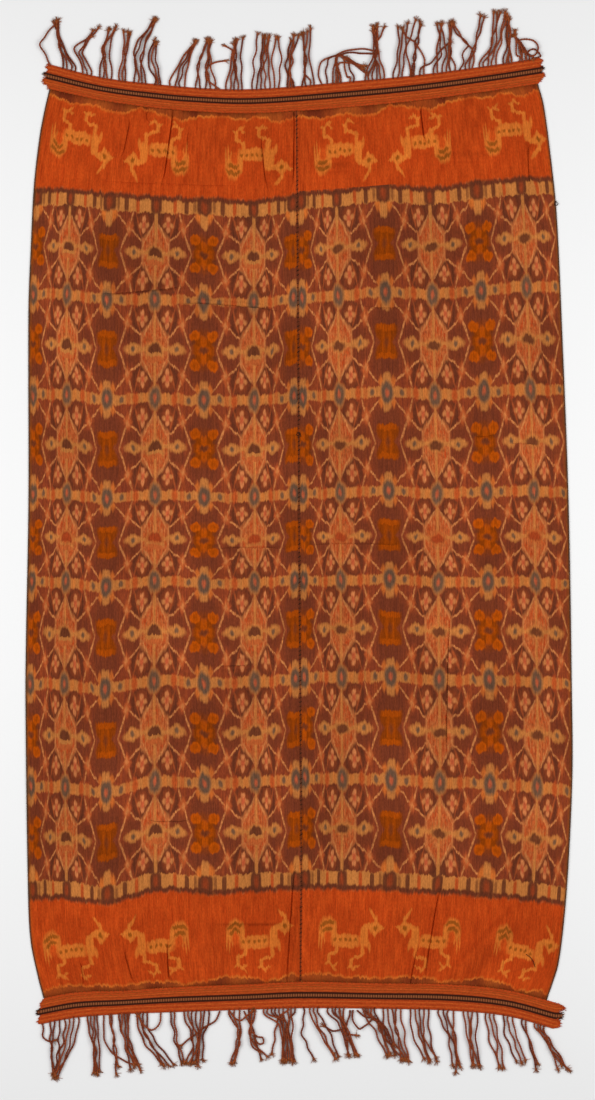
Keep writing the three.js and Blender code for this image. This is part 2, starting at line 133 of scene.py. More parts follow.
BANK = 0.6  # how high it rises there, as a share of the fold
EASE = 0.9  # how far cloth that isn't pressed stands off the floor, in millimetres
EASE_WAVES = ((71, 113, 0), (47, -89, 1.3))  # millimetres across and along for a radian, and where it starts


def fold_place(fold, x, y):
    """Shares along a fold and millimetres aside from it, with the way it heads."""
    x1, y1, x2, y2, reach, _, lean = fold
    length = math.hypot(x2 - x1, y2 - y1)
    heading = ((x2 - x1) / length, (y2 - y1) / length)
    along = ((x - x1) * heading[0] + (y - y1) * heading[1]) / length
    aside = (x - x1) * heading[1] - (y - y1) * heading[0]
    if abs(lean) > STEEP:
        aside = aside + np.sign(lean) * (reach + SLIT / 2)
    return along, aside, heading


def fold_shape(fold, x, y):
    """How far one fold lifts the cloth and tips it over sideways, in millimetres."""
    reach, rise, lean = fold[4:]
    along, aside, heading = fold_place(fold, x, y)
    from_crest = aside - lean * reach
    side = np.where(from_crest > 0, reach - lean * reach, reach + lean * reach)
    section = 0.5 + 0.5 * np.cos(np.pi * np.clip(np.abs(from_crest) / side, 0, 1))
    ends = np.clip(np.minimum(along, 1 - along) / FOLD_TAPER, 0, 1)
    ends = ends * ends * (3 - 2 * ends)
    lift = rise * section * ends
    if abs(lean) <= STEEP:
        return lift, 0 * lift, 0 * lift
    past = aside * np.sign(lean) - reach - SLIT
    bank = np.clip(np.where(past < 0, 1 + past / SLIT, 1 - past / reach), 0, 1)
    bank = BANK * rise * ends * bank * bank * (3 - 2 * bank)
    tip = section * ends * np.sign(lean) * (reach * (1 - abs(lean)) + TIP_OVER)
    return np.maximum(lift, bank), tip * heading[1], -tip * heading[0]


def near_folds(folds, x, y):
    """Where the cloth folds tightly enough to need a fine mesh."""
    near = np.zeros(len(x), bool)
    for fold in folds:
        reach, _, lean = fold[4:]
        along, aside, _ = fold_place(fold, x, y)
        side = aside * np.sign(lean)
        bank = reach + SLIT if abs(lean) > STEEP else 0
        near |= (side > -reach) & (side < reach + bank) & (along > 0) & (along < 1)
    return near


def fold_cloth(folds, x, y):
    """Places on the cloth moved by its folds and by the slight ease of cloth that isn't pressed."""
    shapes = np.array([fold_shape(fold, x, y) for fold in folds])
    highest = np.argmax(shapes[:, 0], axis=0)[None, :]
    lift, x_tip, y_tip = (np.take_along_axis(shapes[:, axis], highest, axis=0)[0] for axis in range(3))
    waves = [np.sin(x / across + y / along + start) for across, along, start in EASE_WAVES]
    ease = 0.5 + 0.5 * np.mean(waves, axis=0)
    return x + x_tip, y + y_tip, lift + EASE * ease


def mesh_from(name, vertices, faces):
    """A smooth-shaded mesh."""
    mesh = bpy.data.meshes.new(name)
    mesh.from_pydata(vertices, [], faces)
    mesh.polygons.foreach_set("use_smooth", np.ones(len(mesh.polygons), bool))
    mesh.update()
    return mesh


def give_uv(mesh, name, pairs):
    """A UV map from one pair of values for each vertex."""
    corners = np.zeros(len(mesh.loops), np.int32)
    mesh.loops.foreach_get("vertex_index", corners)
    layer = mesh.uv_layers.new(name=name)
    layer.data.foreach_set("uv", np.asarray(pairs, np.float32)[corners].ravel())


def grid_faces(columns, rows):
    """Quads over a grid of points that is stored row by row, facing up."""
    corner = (np.arange(rows - 1)[:, None] * columns + np.arange(columns - 1)).ravel()
    return np.stack([corner, corner + 1, corner + columns + 1, corner + columns], 1).tolist()


STEPS_PAST = 5  # how far the repeat is carried on past its first and last places


def carried_on(row):
    """A row of values with one more at each end, several of its steps away."""
    row = np.array(row, float)
    before = row[0] - STEPS_PAST * (row[1] - row[0])
    after = row[-1] + STEPS_PAST * (row[-1] - row[-2])
    return np.concatenate([[before], row, [after]])


def place_between(shares, values, at):
    """Straight lines through a table, carried on past both its ends."""
    return np.interp(at, carried_on(shares), carried_on(values))


# Where the repeat falls on a panel: shares across it of the columns, which are a flower column (even count)
# and a tree column (odd) in turn; y of the ochre rows along the middle tree column, from the top, two counts
# apart; and how far the rows have drifted from there at the panel's edges and columns, in millimetres down
# at the top and at the bottom. The right panel's counts start later, so that the two don't match.
LEFT_REPEAT = {
    "first": 0,
    "columns": (0.017, 0.141, 0.289, 0.468, 0.649, 0.837, 0.983),
    "rows": (675, 489, 292, 98, -73, -273, -474, -672),
    "drift": ((-15, 16), (-15, 16), (-6, 26), (0, 0), (4, 6), (8, 0), (-4, -2)),
    "animals": (0.166, 0.463, 0.847),
}
RIGHT_REPEAT = {
    "first": 20,
    "columns": (0.015, 0.151, 0.333, 0.512, 0.697, 0.872, 1.03),
    "rows": (692, 499, 298, 100, -76, -271, -477, -677),
    "drift": ((10, -12), (4, -10), (-6, -6), (0, 0), (-11, 6), (-20, 14), (-20, 24)),
    "animals": (0.19, 0.489, 0.865),
}
ROW_COUNT = 14  # counts from the first ochre row to the last
ANIMAL_FACING = np.array([1, -1, 1])
ANIMAL_HALF_LENGTH = 66  # millimetres


def animal_across(middles, across, width):
    """Half lengths from the middle of the nearest animal, positive towards its head."""
    nearest = np.argmin(np.abs(across[:, None] - np.array(middles)), axis=1)
    return ANIMAL_FACING[nearest] * (across - np.array(middles)[nearest]) * width / ANIMAL_HALF_LENGTH


def repeat_counts(repeat, across, y):
    """The column and the row of the repeat at each place on a panel, as counts."""
    shares = repeat["columns"]
    columns = place_between(shares, range(repeat["first"], repeat["first"] + len(shares)), across)
    drift_at = (0, *shares[1:-1], 1)
    top, bottom = (curve_through(list(zip(drift_at, end)), across) for end in np.array(repeat["drift"]).T)
    rows_y = np.array(repeat["rows"], float)
    down = np.clip((rows_y[0] - y) / (rows_y[0] - rows_y[-1]), 0, 1)
    drift = top * (1 - down) + bottom * down
    return columns, place_between(-rows_y, range(0, ROW_COUNT + 1, 2), -y - drift)


def panel_mesh(name, edges, folds, repeat):
    """A panel's upper side, finer where it folds, with a UV map for each thing that its pattern follows."""
    # The loom width half way along, and the length a little to the left of the centre seam
    width = edges[1][len(edges[1]) // 2][1] - edges[0][len(edges[0]) // 2][1]
    length = TOP_SEAM[4][1] - BOTTOM_SEAM[4][1]
    columns = round(width / COLUMN_STEP) + 1
    rows = round(length / ROW_STEP) + 1
    across, along = np.meshgrid(np.linspace(0, 1, columns), np.linspace(0, 1, rows))
    shares = np.stack([across.ravel(), along.ravel(), np.zeros(across.size)], 1)
    mesh = mesh_from(name, shares, grid_faces(columns, rows))
    weave = bmesh.new()
    weave.from_mesh(mesh)
    centres = np.array([face.calc_center_median() for face in weave.faces])
    near = near_folds(folds, *cloth_points(edges, centres[:, 0], centres[:, 1]))
    fine = [edge for face, folded in zip(weave.faces, near) if folded for edge in face.edges]
    bmesh.ops.subdivide_edges(weave, edges=list(dict.fromkeys(fine)), cuts=FOLD_CUTS, use_grid_fill=True)
    weave.to_mesh(mesh)
    weave.free()
    shares = np.zeros(3 * len(mesh.vertices), np.float32)
    mesh.vertices.foreach_get("co", shares)
    across, along = shares[0::3].astype(float), shares[1::3].astype(float)
    x, y = cloth_points(edges, across, along)
    folded = np.stack(fold_cloth(folds, x, y), 1) * MM + (0, 0, PANEL_THICKNESS)
    mesh.vertices.foreach_set("co", folded.ravel())
    mesh.update()
    give_uv(mesh, "thread", np.stack([across * width * MM, along * length * MM], 1))
    give_uv(mesh, "repeat", np.stack(repeat_counts(repeat, across, y), 1))
    figure = animal_across(repeat["animals"], across, width)
    from_end = np.minimum(curve_through(TOP_SEAM, x) - y, y - curve_through(BOTTOM_SEAM, x))
    give_uv(mesh, "figure", np.stack([figure, from_end * MM], 1))
    outer, seam = (across, 1 - across) if repeat is LEFT_REPEAT else (1 - across, across)
    # The second value, the distance from the centre seam, places the painted shade along the seam
    give_uv(mesh, "selvedge", np.stack([outer, seam], 1) * width * MM)
    return mesh


def linear(hex_colour, alpha=1.0):
    """An sRGB hex colour as linear values for a shader."""
    channels = [int(hex_colour[i:i + 2], 16) / 255 for i in (1, 3, 5)]
    return [c / 12.92 if c <= 0.04045 else ((c + 0.055) / 1.055) ** 2.4 for c in channels] + [alpha]


def add(tree, kind, values=(), out=0, **settings):
    """One node with its settings; values go to its sockets, in order or by name, and an output is linked."""
    made = tree.nodes.new(kind)
    for name, setting in settings.items():
        setattr(made, name, setting)
    for socket, value in values.items() if isinstance(values, dict) else enumerate(values):
        if isinstance(value, bpy.types.NodeSocket):
            tree.links.new(value, made.inputs[socket])
        else:
            made.inputs[socket].default_value = value
    return made.outputs[out] if len(made.outputs) else made


# The dyes: madder reds and browns, yellow ochre, and madder over indigo for the near-blacks
DYES = {
    "brown": "#8A3D1E",
    "plum": "#78331E",
    "deep_brown": "#5E2D1B",
    "ochre": "#B87036",
    "pale_ochre": "#C27842",
    "salmon": "#AC5026",
    "madder": "#A83E18",
    "slate": "#5A4233",
    "core": "#B65230",
    "petal": "#C87846",
    "marigold": "#AC4803",
    "rust": "#823603",
    "flame": "#C66628",
    "field": "#BC4614",
    "field_dark": "#A2340C",
    "animal": "#CC6E28",
    "olive": "#8A4812",
    "strip": "#702B14",
    "selvedge": "#4C3A2A",
}

# Chart of a quarter repeat, painted in this order. u runs from a flower column (0) to a tree column (1),
# v from an ochre row (0) to a motif row (1). A row is a shape; its middle u and v and its half sizes, or a
# line's two ends and half its thickness; how soft its edge is; its dye and how strong that is; and where
# the dye took unevenly, the name of the gate that weakens it.
REPEAT_CHART = [
    ("oval", (0.735, 0.38, 0.21, 0.28), 0.12, "deep_brown", 0.9),
    ("lozenge", (0.76, 0.50, 0.22, 0.27), 0.15, "deep_brown", 0.9),
    ("oval", (0.735, 0.37, 0.12, 0.21), 0.35, "brown", 0.75),
    ("oval", (0, 0.60, 0.32, 0.42), 0.3, "deep_brown", 0.6),
    ("oval", (0.55, 0.80, 0.20, 0.15), 0.4, "deep_brown", 0.5),
    ("line", (0.53, 0.12, 0.43, 0.49, 0.020), 0.7, "pale_ochre", 0.8, "broken"),
    ("line", (0.44, 0.46, 0.25, 1.02, 0.020), 0.7, "pale_ochre", 0.8, "broken"),
    ("line", (0.17, 0.18, 0.44, 0.50, 0.020), 0.7, "pale_ochre", 0.8, "broken"),
    ("line", (0.43, 0.47, 0.76, 0.79, 0.020), 0.7, "pale_ochre", 0.8, "broken"),
    ("line", (0.58, 0.16, 0.70, 0.66, 0.018), 0.8, "salmon", 0.6),
    ("lozenge", (0.44, 0.46, 0.085, 0.18), 0.35, "salmon", 0.9),
    ("lozenge", (0.43, 0.49, 0.045, 0.08), 0.5, "pale_ochre", 0.6),
    ("oval", (0.745, 0.29, 0.040, 0.07), 0.3, "petal", 0.85),
    ("oval", (0.745, 0.51, 0.040, 0.07), 0.3, "petal", 0.85),
    ("oval", (0.680, 0.40, 0.045, 0.055), 0.4, "pale_ochre", 0.75),
    ("oval", (0.810, 0.40, 0.045, 0.055), 0.4, "pale_ochre", 0.75),
    ("oval", (0.745, 0.40, 0.038, 0.075), 0.5, "core", 0.85),
    ("tent", (1, 1, 0.50, 0.67), 0.08, "pale_ochre", 0.6),
    ("tent", (1, 1, 0.46, 0.61), 0.12, "salmon", 0.9),
    ("tent", (1, 1, 0.45, 0.59), 0.2, "madder", 0.9, "red_flecks"),
    ("tent", (1, 1, 0.46, 0.62), 0.2, "pale_ochre", 0.5, "pale_flecks"),
    ("tent", (1, 1, 0.42, 0.56), 0.2, "brown", 0.6, "dark_flecks"),
    ("line", (0.75, 0.80, 0.96, 0.34, 0.018), 0.7, "pale_ochre", 0.7, "broken"),
    ("line", (0.73, 0.76, 0.73, 1.06, 0.014), 0.7, "pale_ochre", 0.5, "broken"),
    ("line", (1, 0.15, 1, 0.95, 0.030), 0.6, "ochre", 0.75),
    ("lozenge", (1, 1, 0.29, 0.29), 0.35, "ochre", 0.25),
    ("bar", (0.84, 1, 0.16, 0.04), 0.5, "ochre", 0.7),
    ("oval", (1, 1, 0.18, 0.13), 0.25, "ochre", 0.7),
    ("oval", (0.55, 1, 0.18, 0.10), 0.25, "ochre", 0.9),
    ("bar", (0.55, 0.93, 0.06, 0.07), 0.5, "ochre", 0.7),
    ("oval", (0.55, 1, 0.04, 0.06), 0.4, "slate", 0.85),
    ("bar", (0, 1, 0.24, 0.40), 0.3, "rust", 0.5, "dotted"),
    ("bar", (0, 0.73, 0.23, 0.09), 0.35, "rust", 0.9, "solid"),
    ("line", (0.02, 1.0, 0.19, 0.72, 0.10), 0.4, "rust", 0.9, "solid"),
    ("bar", (0, 0.95, 0.13, 0.26), 0.35, "rust", 0.9, "solid"),
    ("bar", (0, 0.71, 0.20, 0.06), 0.4, "marigold", 0.6, "solid"),
    ("oval", (0.06, 0.92, 0.035, 0.18), 0.5, "marigold", 0.4, "solid"),
    ("oval", (0, 1, 0.05, 0.10), 0.5, "deep_brown", 0.5, "solid"),
    ("line", (0.02, 1.0, 0.21, 0.70, 0.10), 0.3, "rust", 1.0, "dotted"),
    ("bar", (0, 1, 0.21, 0.15), 0.25, "rust", 0.9, "dotted"),
    ("bar", (0, 0.84, 0.06, 0.12), 0.5, "marigold", 0.75, "dotted"),
    ("oval", (0.18, 0.70, 0.11, 0.11), 0.15, "marigold", 0.95, "dotted"),
    ("oval", (0.18, 0.70, 0.05, 0.05), 0.6, "rust", 0.5, "dotted"),
    ("oval", (0.22, 0.86, 0.055, 0.05), 0.4, "deep_brown", 0.6, "dotted"),
    ("oval", (0.11, 0.96, 0.05, 0.05), 0.4, "marigold", 0.6, "dotted"),
    ("oval", (0, 1, 0.09, 0.065), 0.35, "deep_brown", 0.75, "dotted"),
    ("bar", (0.5, 0, 0.6, 0.105), 0.35, "ochre", 0.85),
    ("bar", (0.45, 0, 0.045, 0.13), 0.5, "madder", 0.45),
    ("bar", (0.80, 0, 0.05, 0.10), 0.5, "flame", 0.35),
    ("oval", (0.60, 0, 0.06, 0.13), 0.35, "madder", 0.8),
    ("oval", (0.31, 0, 0.045, 0.075), 0.35, "slate", 0.85),
    ("lozenge", (0.13, 0.21, 0.055, 0.13), 0.4, "flame", 0.7),
    ("bar", (0, 0.23, 0.085, 0.15), 0.35, "ochre", 0.8),
    ("oval", (0, 0, 0.15, 0.25), 0.2, "ochre", 0.65),
    ("oval", (1, 0, 0.14, 0.26), 0.15, "ochre", 0.75),
    ("oval", (0, 0, 0.125, 0.22), 0.2, "slate", 0.95),
    ("oval", (1, 0, 0.12, 0.22), 0.25, "slate", 0.9),
    ("oval", (0, 0, 0.04, 0.075), 0.5, "core", 0.8),
    ("oval", (1, 0, 0.034, 0.075), 0.5, "core", 0.8),
]

# The dome at the heart of each tree, which isn't mirrored: v here is counted down from the motif row
DOME_CHART = [
    ("oval", (1, 0.06, 0.19, 0.20), 0.2, "ochre", 0.55, "left"),
    ("oval", (1, 0.05, 0.14, 0.17), 0.15, "deep_brown", 0.95, "left"),
    ("bar", (1, 0.155, 0.17, 0.080), 0.3, "ochre", 0.85, "left"),
    ("bar", (1, 0.205, 0.16, 0.055), 0.4, "salmon", 0.85, "left"),
    ("oval", (1, 0.02, 0.14, 0.09), 0.25, "deep_brown", 0.9, "right"),
    ("oval", (1, 0, 0.16, 0.13), 0.4, "madder", 0.7, "middle"),
]

# The border at each end of the repeat; v here is counted out from the last ochre row
BORDER_CHART = [
    ("lozenge", (1, -0.12, 0.20, 0.30), 0.2, "deep_brown", 0.9),
    ("oval", (0, -0.12, 0.18, 0.26), 0.2, "flame", 0.75),
    ("bar", (0, -0.28, 0.075, 0.18), 0.3, "ochre", 0.85),
    ("line", (1, -0.60, 1, 0, 0.036), 0.5, "ochre", 0.85),
    ("bar", (0.5, 0, 0.7, 0.14), 0.2, "ochre", 0.95),
    ("bar", (0.37, 0.02, 0.045, 0.16), 0.35, "deep_brown", 0.9),
    ("bar", (0.20, 0.03, 0.03, 0.14), 0.5, "deep_brown", 0.6),
    ("bar", (0.61, 0.02, 0.036, 0.15), 0.4, "madder", 0.85),
    ("bar", (1, 0.05, 0.115, 0.20), 0.25, "deep_brown", 0.95),
    ("bar", (0, 0.05, 0.15, 0.20), 0.25, "deep_brown", 0.95),
    ("oval", (1, 0.03, 0.045, 0.12), 0.5, "madder", 0.45),
    ("oval", (0, 0.03, 0.06, 0.12), 0.5, "madder", 0.45),
    ("bar", (0.5, 0.185, 0.9, 0.06), 0.7, "deep_brown", 0.75),
]

# One animal, from its tail (-1) to its beak (1) and from its feet (-1) to its ear (1)
ANIMAL_CHART = [
    ("oval", (0, 0, 1.1, 1.05), 0.25, "field_dark", 0.3),
    ("line", (-1.0, -0.26, -0.97, 0.40, 0.028), 0.6, "animal", 0.7),
    ("line", (-0.92, -0.34, -0.89, 0.34, 0.028), 0.6, "animal", 0.7),
    ("line", (-0.82, -0.16, -0.80, 0.30, 0.028), 0.6, "animal", 0.7),
    ("oval", (-0.73, 0.36, 0.27, 0.40), 0.15, "animal", 0.7),
    ("line", (-0.97, 0.44, -0.70, 0.64, 0.06), 0.6, "olive", 0.9),
    ("line", (-0.76, 0.63, -0.48, 0.52, 0.06), 0.6, "olive", 0.9),
    ("line", (-0.91, 0.25, -0.71, 0.44, 0.06), 0.6, "olive", 0.9),
    ("line", (-0.77, 0.43, -0.57, 0.32, 0.06), 0.6, "olive", 0.9),
    ("oval", (-0.72, 0.10, 0.11, 0.20), 0.25, "field", 0.95),
    ("line", (-0.50, 0.56, -0.50, 0.04, 0.06), 0.6, "animal", 0.75),
    ("bar", (-0.15, -0.03, 0.44, 0.22), 0.3, "animal", 0.85),
    ("bar", (0.43, 0.09, 0.12, 0.34), 0.3, "animal", 0.85),
    ("line", (0.38, 0.40, 0.78, 0.49, 0.10), 0.5, "animal", 0.85),
    ("oval", (0.77, 0.42, 0.18, 0.20), 0.2, "animal", 0.85),
    ("lozenge", (0.95, 0.45, 0.12, 0.09), 0.25, "animal", 0.8),
    ("lozenge", (0.76, 0.22, 0.07, 0.11), 0.3, "animal", 0.8),
    ("line", (0.80, 0.66, 0.58, 1.02, 0.05), 0.6, "animal", 0.8),
    ("line", (0.78, 0.54, 0.79, 0.80, 0.05), 0.6, "animal", 0.8),
    ("line", (0.57, 0.02, 0.61, -0.34, 0.055), 0.6, "animal", 0.75),
    ("line", (0.37, -0.20, 0.41, -0.55, 0.06), 0.6, "animal", 0.8),
    ("line", (0.45, -0.48, 0.00, -0.63, 0.055), 0.6, "animal", 0.8),
    ("line", (0.05, -0.56, 0.04, -0.87, 0.055), 0.6, "animal", 0.8),
    ("line", (0.02, -0.77, 0.18, -1.0, 0.05), 0.6, "animal", 0.7),
    ("line", (0.10, -0.94, 0.33, -0.82, 0.045), 0.6, "animal", 0.7),
    ("line", (0.08, -0.80, -0.07, -0.90, 0.045), 0.6, "animal", 0.7),
    ("line", (-0.42, -0.20, -0.44, -0.45, 0.06), 0.6, "animal", 0.8),
    ("line", (-0.40, -0.38, -0.71, -0.52, 0.055), 0.6, "animal", 0.8),
    ("line", (-0.67, -0.44, -0.67, -0.82, 0.055), 0.6, "animal", 0.8),
    ("line", (-0.70, -0.73, -0.42, -0.99, 0.05), 0.6, "animal", 0.7),
    ("line", (-0.57, -0.88, -0.39, -0.73, 0.045), 0.6, "animal", 0.7),
    ("line", (-0.64, -0.74, -0.79, -0.85, 0.045), 0.6, "animal", 0.7),
    ("oval", (0.77, 0.41, 0.065, 0.08), 0.35, "olive", 0.95),
    *[("oval", (u, 0.0, 0.045, 0.06), 0.4, "olive", 0.9) for u in (-0.49, -0.32, -0.15, -0.01, 0.16)],
]
TENT_WALL = 1.75  # a tent is a lozenge whose sides are cut straight at this part of its half width


def shape_reach(tree, place, kind, sizes):
    """How far out a place is from the middle of a chart's shape: 1 on its edge."""
    if kind == "line":
        u, v, u2, v2, half = sizes
        length = math.hypot(u2 - u, v2 - v)
        sides = []
        for x, y, reach in ((v2 - v, u - u2, half), (u2 - u, v2 - v, length / 2)):
            middle = -(x * (u + u2) + y * (v + v2)) / 2
            facing = [place, [value / length / reach for value in (x, y, middle)]]
            sides.append(add(tree, "ShaderNodeVectorMath", facing, "Value", operation="DOT_PRODUCT"))
        square = add(tree, "ShaderNodeMath", [sides[0], sides[0]], operation="MULTIPLY")
        return add(tree, "ShaderNodeMath", [sides[1], sides[1], square], operation="MULTIPLY_ADD")
    u, v, half_u, half_v = sizes
    grow = [1 / half_u, 1 / half_v, 0]
    move = [-u / half_u, -v / half_v, 0]
    local = add(tree, "ShaderNodeVectorMath", [place, grow, move], operation="MULTIPLY_ADD")
    if kind in ("oval", "bar"):
        if kind == "bar":
            local = add(tree, "ShaderNodeVectorMath", [local, local], operation="MULTIPLY")
        return add(tree, "ShaderNodeVectorMath", [local], "Value", operation="LENGTH")
    local = add(tree, "ShaderNodeVectorMath", [local], operation="ABSOLUTE")
    reach = add(tree, "ShaderNodeVectorMath", [local, (1, 1, 0)], "Value", operation="DOT_PRODUCT")
    if kind == "tent":
        wall = add(tree, "ShaderNodeVectorMath", [local, (TENT_WALL, 0, 0)], "Value", operation="DOT_PRODUCT")
        reach = add(tree, "ShaderNodeMath", [reach, wall], operation="MAXIMUM")
    return reach


def lay_over(tree, under, colour, value, start, end, strength=1.0, gate=None):
    """A colour laid over another one, from not at all where a value is at start to its strength at end."""
    limits = {"Value": value, "From Min": start, "From Max": end, "To Min": 0.0, "To Max": strength}
    mask = add(tree, "ShaderNodeMapRange", limits)
    if gate:
        mask = add(tree, "ShaderNodeMath", [mask, gate], operation="MULTIPLY", use_clamp=True)
    return add(tree, "ShaderNodeMix", {0: mask, 6: under, 7: colour}, 2, data_type="RGBA")


def paint_chart(tree, colour, place, chart, gates=None):
    """Paints a chart's rows in order."""
    for kind, sizes, edge, dye, strength, *gate in chart:
        reach = shape_reach(tree, place, kind, sizes)
        gate = gates[gate[0]] if gate else None
        colour = lay_over(tree, colour, linear(DYES[dye]), reach, 1 + edge, 1 - edge, strength, gate)
    return colour


NOISE_LOW, NOISE_HIGH = 0.3, 0.7  # nearly all of a noise's values lie between these


def streaks(tree, place, across, along, low, high, detail=2.0):
    """Soft streaks with the given widths across and along the threads, as values from low to high."""
    stretched = add(tree, "ShaderNodeMapping", {"Vector": place, "Scale": (1 / across, 1 / along, 1)})
    cloudy = {"Vector": stretched, "Scale": 1.0, "Detail": detail}
    noise = add(tree, "ShaderNodeTexNoise", cloudy, noise_dimensions="2D")
    limits = {"Value": noise, "From Min": NOISE_LOW, "From Max": NOISE_HIGH, "To Min": low, "To Max": high}
    return add(tree, "ShaderNodeMapRange", limits)


def uneven(tree, colour, *shades):
    """A colour made lighter and darker by each of the shades in turn."""
    for shade in shades:
        mixed = {0: 1.0, 6: colour, 7: shade}
        colour = add(tree, "ShaderNodeMix", mixed, 2, data_type="RGBA", blend_type="MULTIPLY")
    return colour


def new_material(name, roughness, specular):
    """A material with its node tree and its shader."""
    material = bpy.data.materials.new(name)
    material.use_nodes = True
    shader = material.node_tree.nodes["Principled BSDF"]
    shader.inputs["Roughness"].default_value = roughness
    shader.inputs["Specular IOR Level"].default_value = specular
    return material, material.node_tree, shader


COTTON_ROUGHNESS = 0.95
COTTON_SPECULAR = 0.05  # loose fibres scatter nearly all of a highlight
BUNDLE = 2.2 * MM  # warp threads that were tied together for dyeing; drawn a little coarser than a real tie
SLIP = 0.034  # how far bundles slip along the warp, in counts of the repeat
WANDER = 0.028  # how far whole groups of them drift, in counts too
COUNT_LENGTH = 96.5 * MM
ANIMAL_MIDDLE = 85 * MM  # from the end band
ANIMAL_HALF_HEIGHT = 61 * MM


def warp_shift(tree, thread):
    """How far each bundle of warp has slipped from where it was tied, in counts of the repeat."""
    across = add(tree, "ShaderNodeSeparateXYZ", [thread])
    bundle = add(tree, "ShaderNodeMath", [across, BUNDLE], operation="DIVIDE")
    bundle = add(tree, "ShaderNodeMath", [bundle], operation="FLOOR")
    slip = add(tree, "ShaderNodeTexWhiteNoise", {"W": bundle}, noise_dimensions="1D")
    slip = add(tree, "ShaderNodeMath", [slip, SLIP, -SLIP / 2], operation="MULTIPLY_ADD")
    wander = streaks(tree, thread, 14 * MM, 70 * MM, -WANDER, WANDER)
    return add(tree, "ShaderNodeMath", [wander, slip], operation="ADD")


def field_red(tree, thread):
    """The plain end field: madder red, cloudy and streaked."""
    cloud = streaks(tree, thread, 9 * MM, 45 * MM, 0, 1, 3.0)
    return lay_over(tree, linear(DYES["field"]), linear(DYES["field_dark"]), cloud, 0, 1, 0.75)


def cotton_finish(tree, shader, thread, colour):
    """Selvedges, uneven dye, painted shade along the centre seam and the ribs of the warp; matte."""
    outer = add(tree, "ShaderNodeSeparateXYZ", [add(tree, "ShaderNodeUVMap", uv_map="selvedge")])
    seam = outer.node.outputs["Y"]
    colour = lay_over(tree, colour, linear(DYES["olive"]), outer, 8 * MM, 6 * MM, 0.3)
    colour = lay_over(tree, colour, linear(DYES["selvedge"]), outer, 4 * MM, 2.5 * MM, 0.8)
    # Painted shade: deep brown along the centre seam stands in for the shadow where the two panels meet
    colour = lay_over(tree, colour, linear(DYES["deep_brown"]), seam, 2.5 * MM, 1 * MM, 0.7)
    washes = streaks(tree, thread, 130 * MM, 220 * MM, 0.9, 1.1)
    threads = streaks(tree, thread, 2.2 * MM, 40 * MM, 0.84, 1.14)
    slubs = streaks(tree, thread, 2.4 * MM, 6 * MM, 0.86, 1.12)
    tree.links.new(uneven(tree, colour, washes, threads, slubs), shader.inputs["Base Color"])
    ribs = streaks(tree, thread, 1.3 * MM, 9 * MM, 0, 1, 3.0)
    bump = {"Height": ribs, "Strength": 0.25, "Distance": 0.4 * MM}
    tree.links.new(add(tree, "ShaderNodeBump", bump), shader.inputs["Normal"])


def ikat_field():
    """Handspun cotton, resist dyed in the warp: matte, streaked along the threads, with feathered edges."""
    material, tree, shader = new_material("ikat_cotton_field", COTTON_ROUGHNESS, COTTON_SPECULAR)
    thread = add(tree, "ShaderNodeUVMap", uv_map="thread")
    repeat = add(tree, "ShaderNodeUVMap", uv_map="repeat")
    columns = add(tree, "ShaderNodeSeparateXYZ", [repeat])
    rows = add(tree, "ShaderNodeMath", [columns.node.outputs["Y"], warp_shift(tree, thread)], operation="ADD")
    u = add(tree, "ShaderNodeMath", [columns, 1.0], operation="PINGPONG")
    v = add(tree, "ShaderNodeMath", [rows, 1.0], operation="PINGPONG")
    place = add(tree, "ShaderNodeCombineXYZ", [u, v, 1.0])
    ground = streaks(tree, thread, 5 * MM, 60 * MM, 0, 1)
    colour = lay_over(tree, linear(DYES["brown"]), linear(DYES["plum"]), ground, 0, 1)
    pair = add(tree, "ShaderNodeMath", [columns, 1.0], operation="ADD")
    pair = add(tree, "ShaderNodeMath", [pair, 4.0], operation="FLOORED_MODULO")
    solid = add(tree, "ShaderNodeMath", [pair, 2.0], operation="GREATER_THAN")
    right = add(tree, "ShaderNodeMath", [columns, RIGHT_REPEAT["first"] / 2], operation="GREATER_THAN")
    gates = {
        "solid": solid,
        "dotted": add(tree, "ShaderNodeMath", [1.0, solid], operation="SUBTRACT"),
        "red_flecks": streaks(tree, thread, 5 * MM, 12 * MM, -0.2, 1.25),
        "broken": streaks(tree, thread, 4 * MM, 6 * MM, 0.45, 1.3),
        "dark_flecks": streaks(tree, thread, 4 * MM, 9 * MM, -1.0, 1.2),
        "pale_flecks": streaks(tree, thread, 3 * MM, 24 * MM, -0.6, 1.0),
        "middle": add(tree, "ShaderNodeMath", [rows, ROW_COUNT / 2, 0.5], operation="COMPARE"),
        "right": right,
        "left": add(tree, "ShaderNodeMath", [1.0, right], operation="SUBTRACT"),
    }
    colour = paint_chart(tree, colour, place, REPEAT_CHART, gates)
    down = add(tree, "ShaderNodeMath", [rows, 2.0, 0.0], operation="WRAP")
    down = add(tree, "ShaderNodeMath", [down, 1.0], operation="SUBTRACT")
    unmirrored = add(tree, "ShaderNodeCombineXYZ", [u, down, 1.0])
    colour = paint_chart(tree, colour, unmirrored, DOME_CHART, gates)
    beyond = add(tree, "ShaderNodeMath", [rows, ROW_COUNT / 2], operation="SUBTRACT")
    beyond = add(tree, "ShaderNodeMath", [beyond], operation="ABSOLUTE")
    beyond = add(tree, "ShaderNodeMath", [beyond, ROW_COUNT / 2], operation="SUBTRACT")
    border = add(tree, "ShaderNodeCombineXYZ", [u, beyond, 1.0])
    colour = paint_chart(tree, colour, border, BORDER_CHART)
    colour = lay_over(tree, colour, field_red(tree, thread), beyond, 0.20, 0.27)
    cotton_finish(tree, shader, thread, colour)
    return material


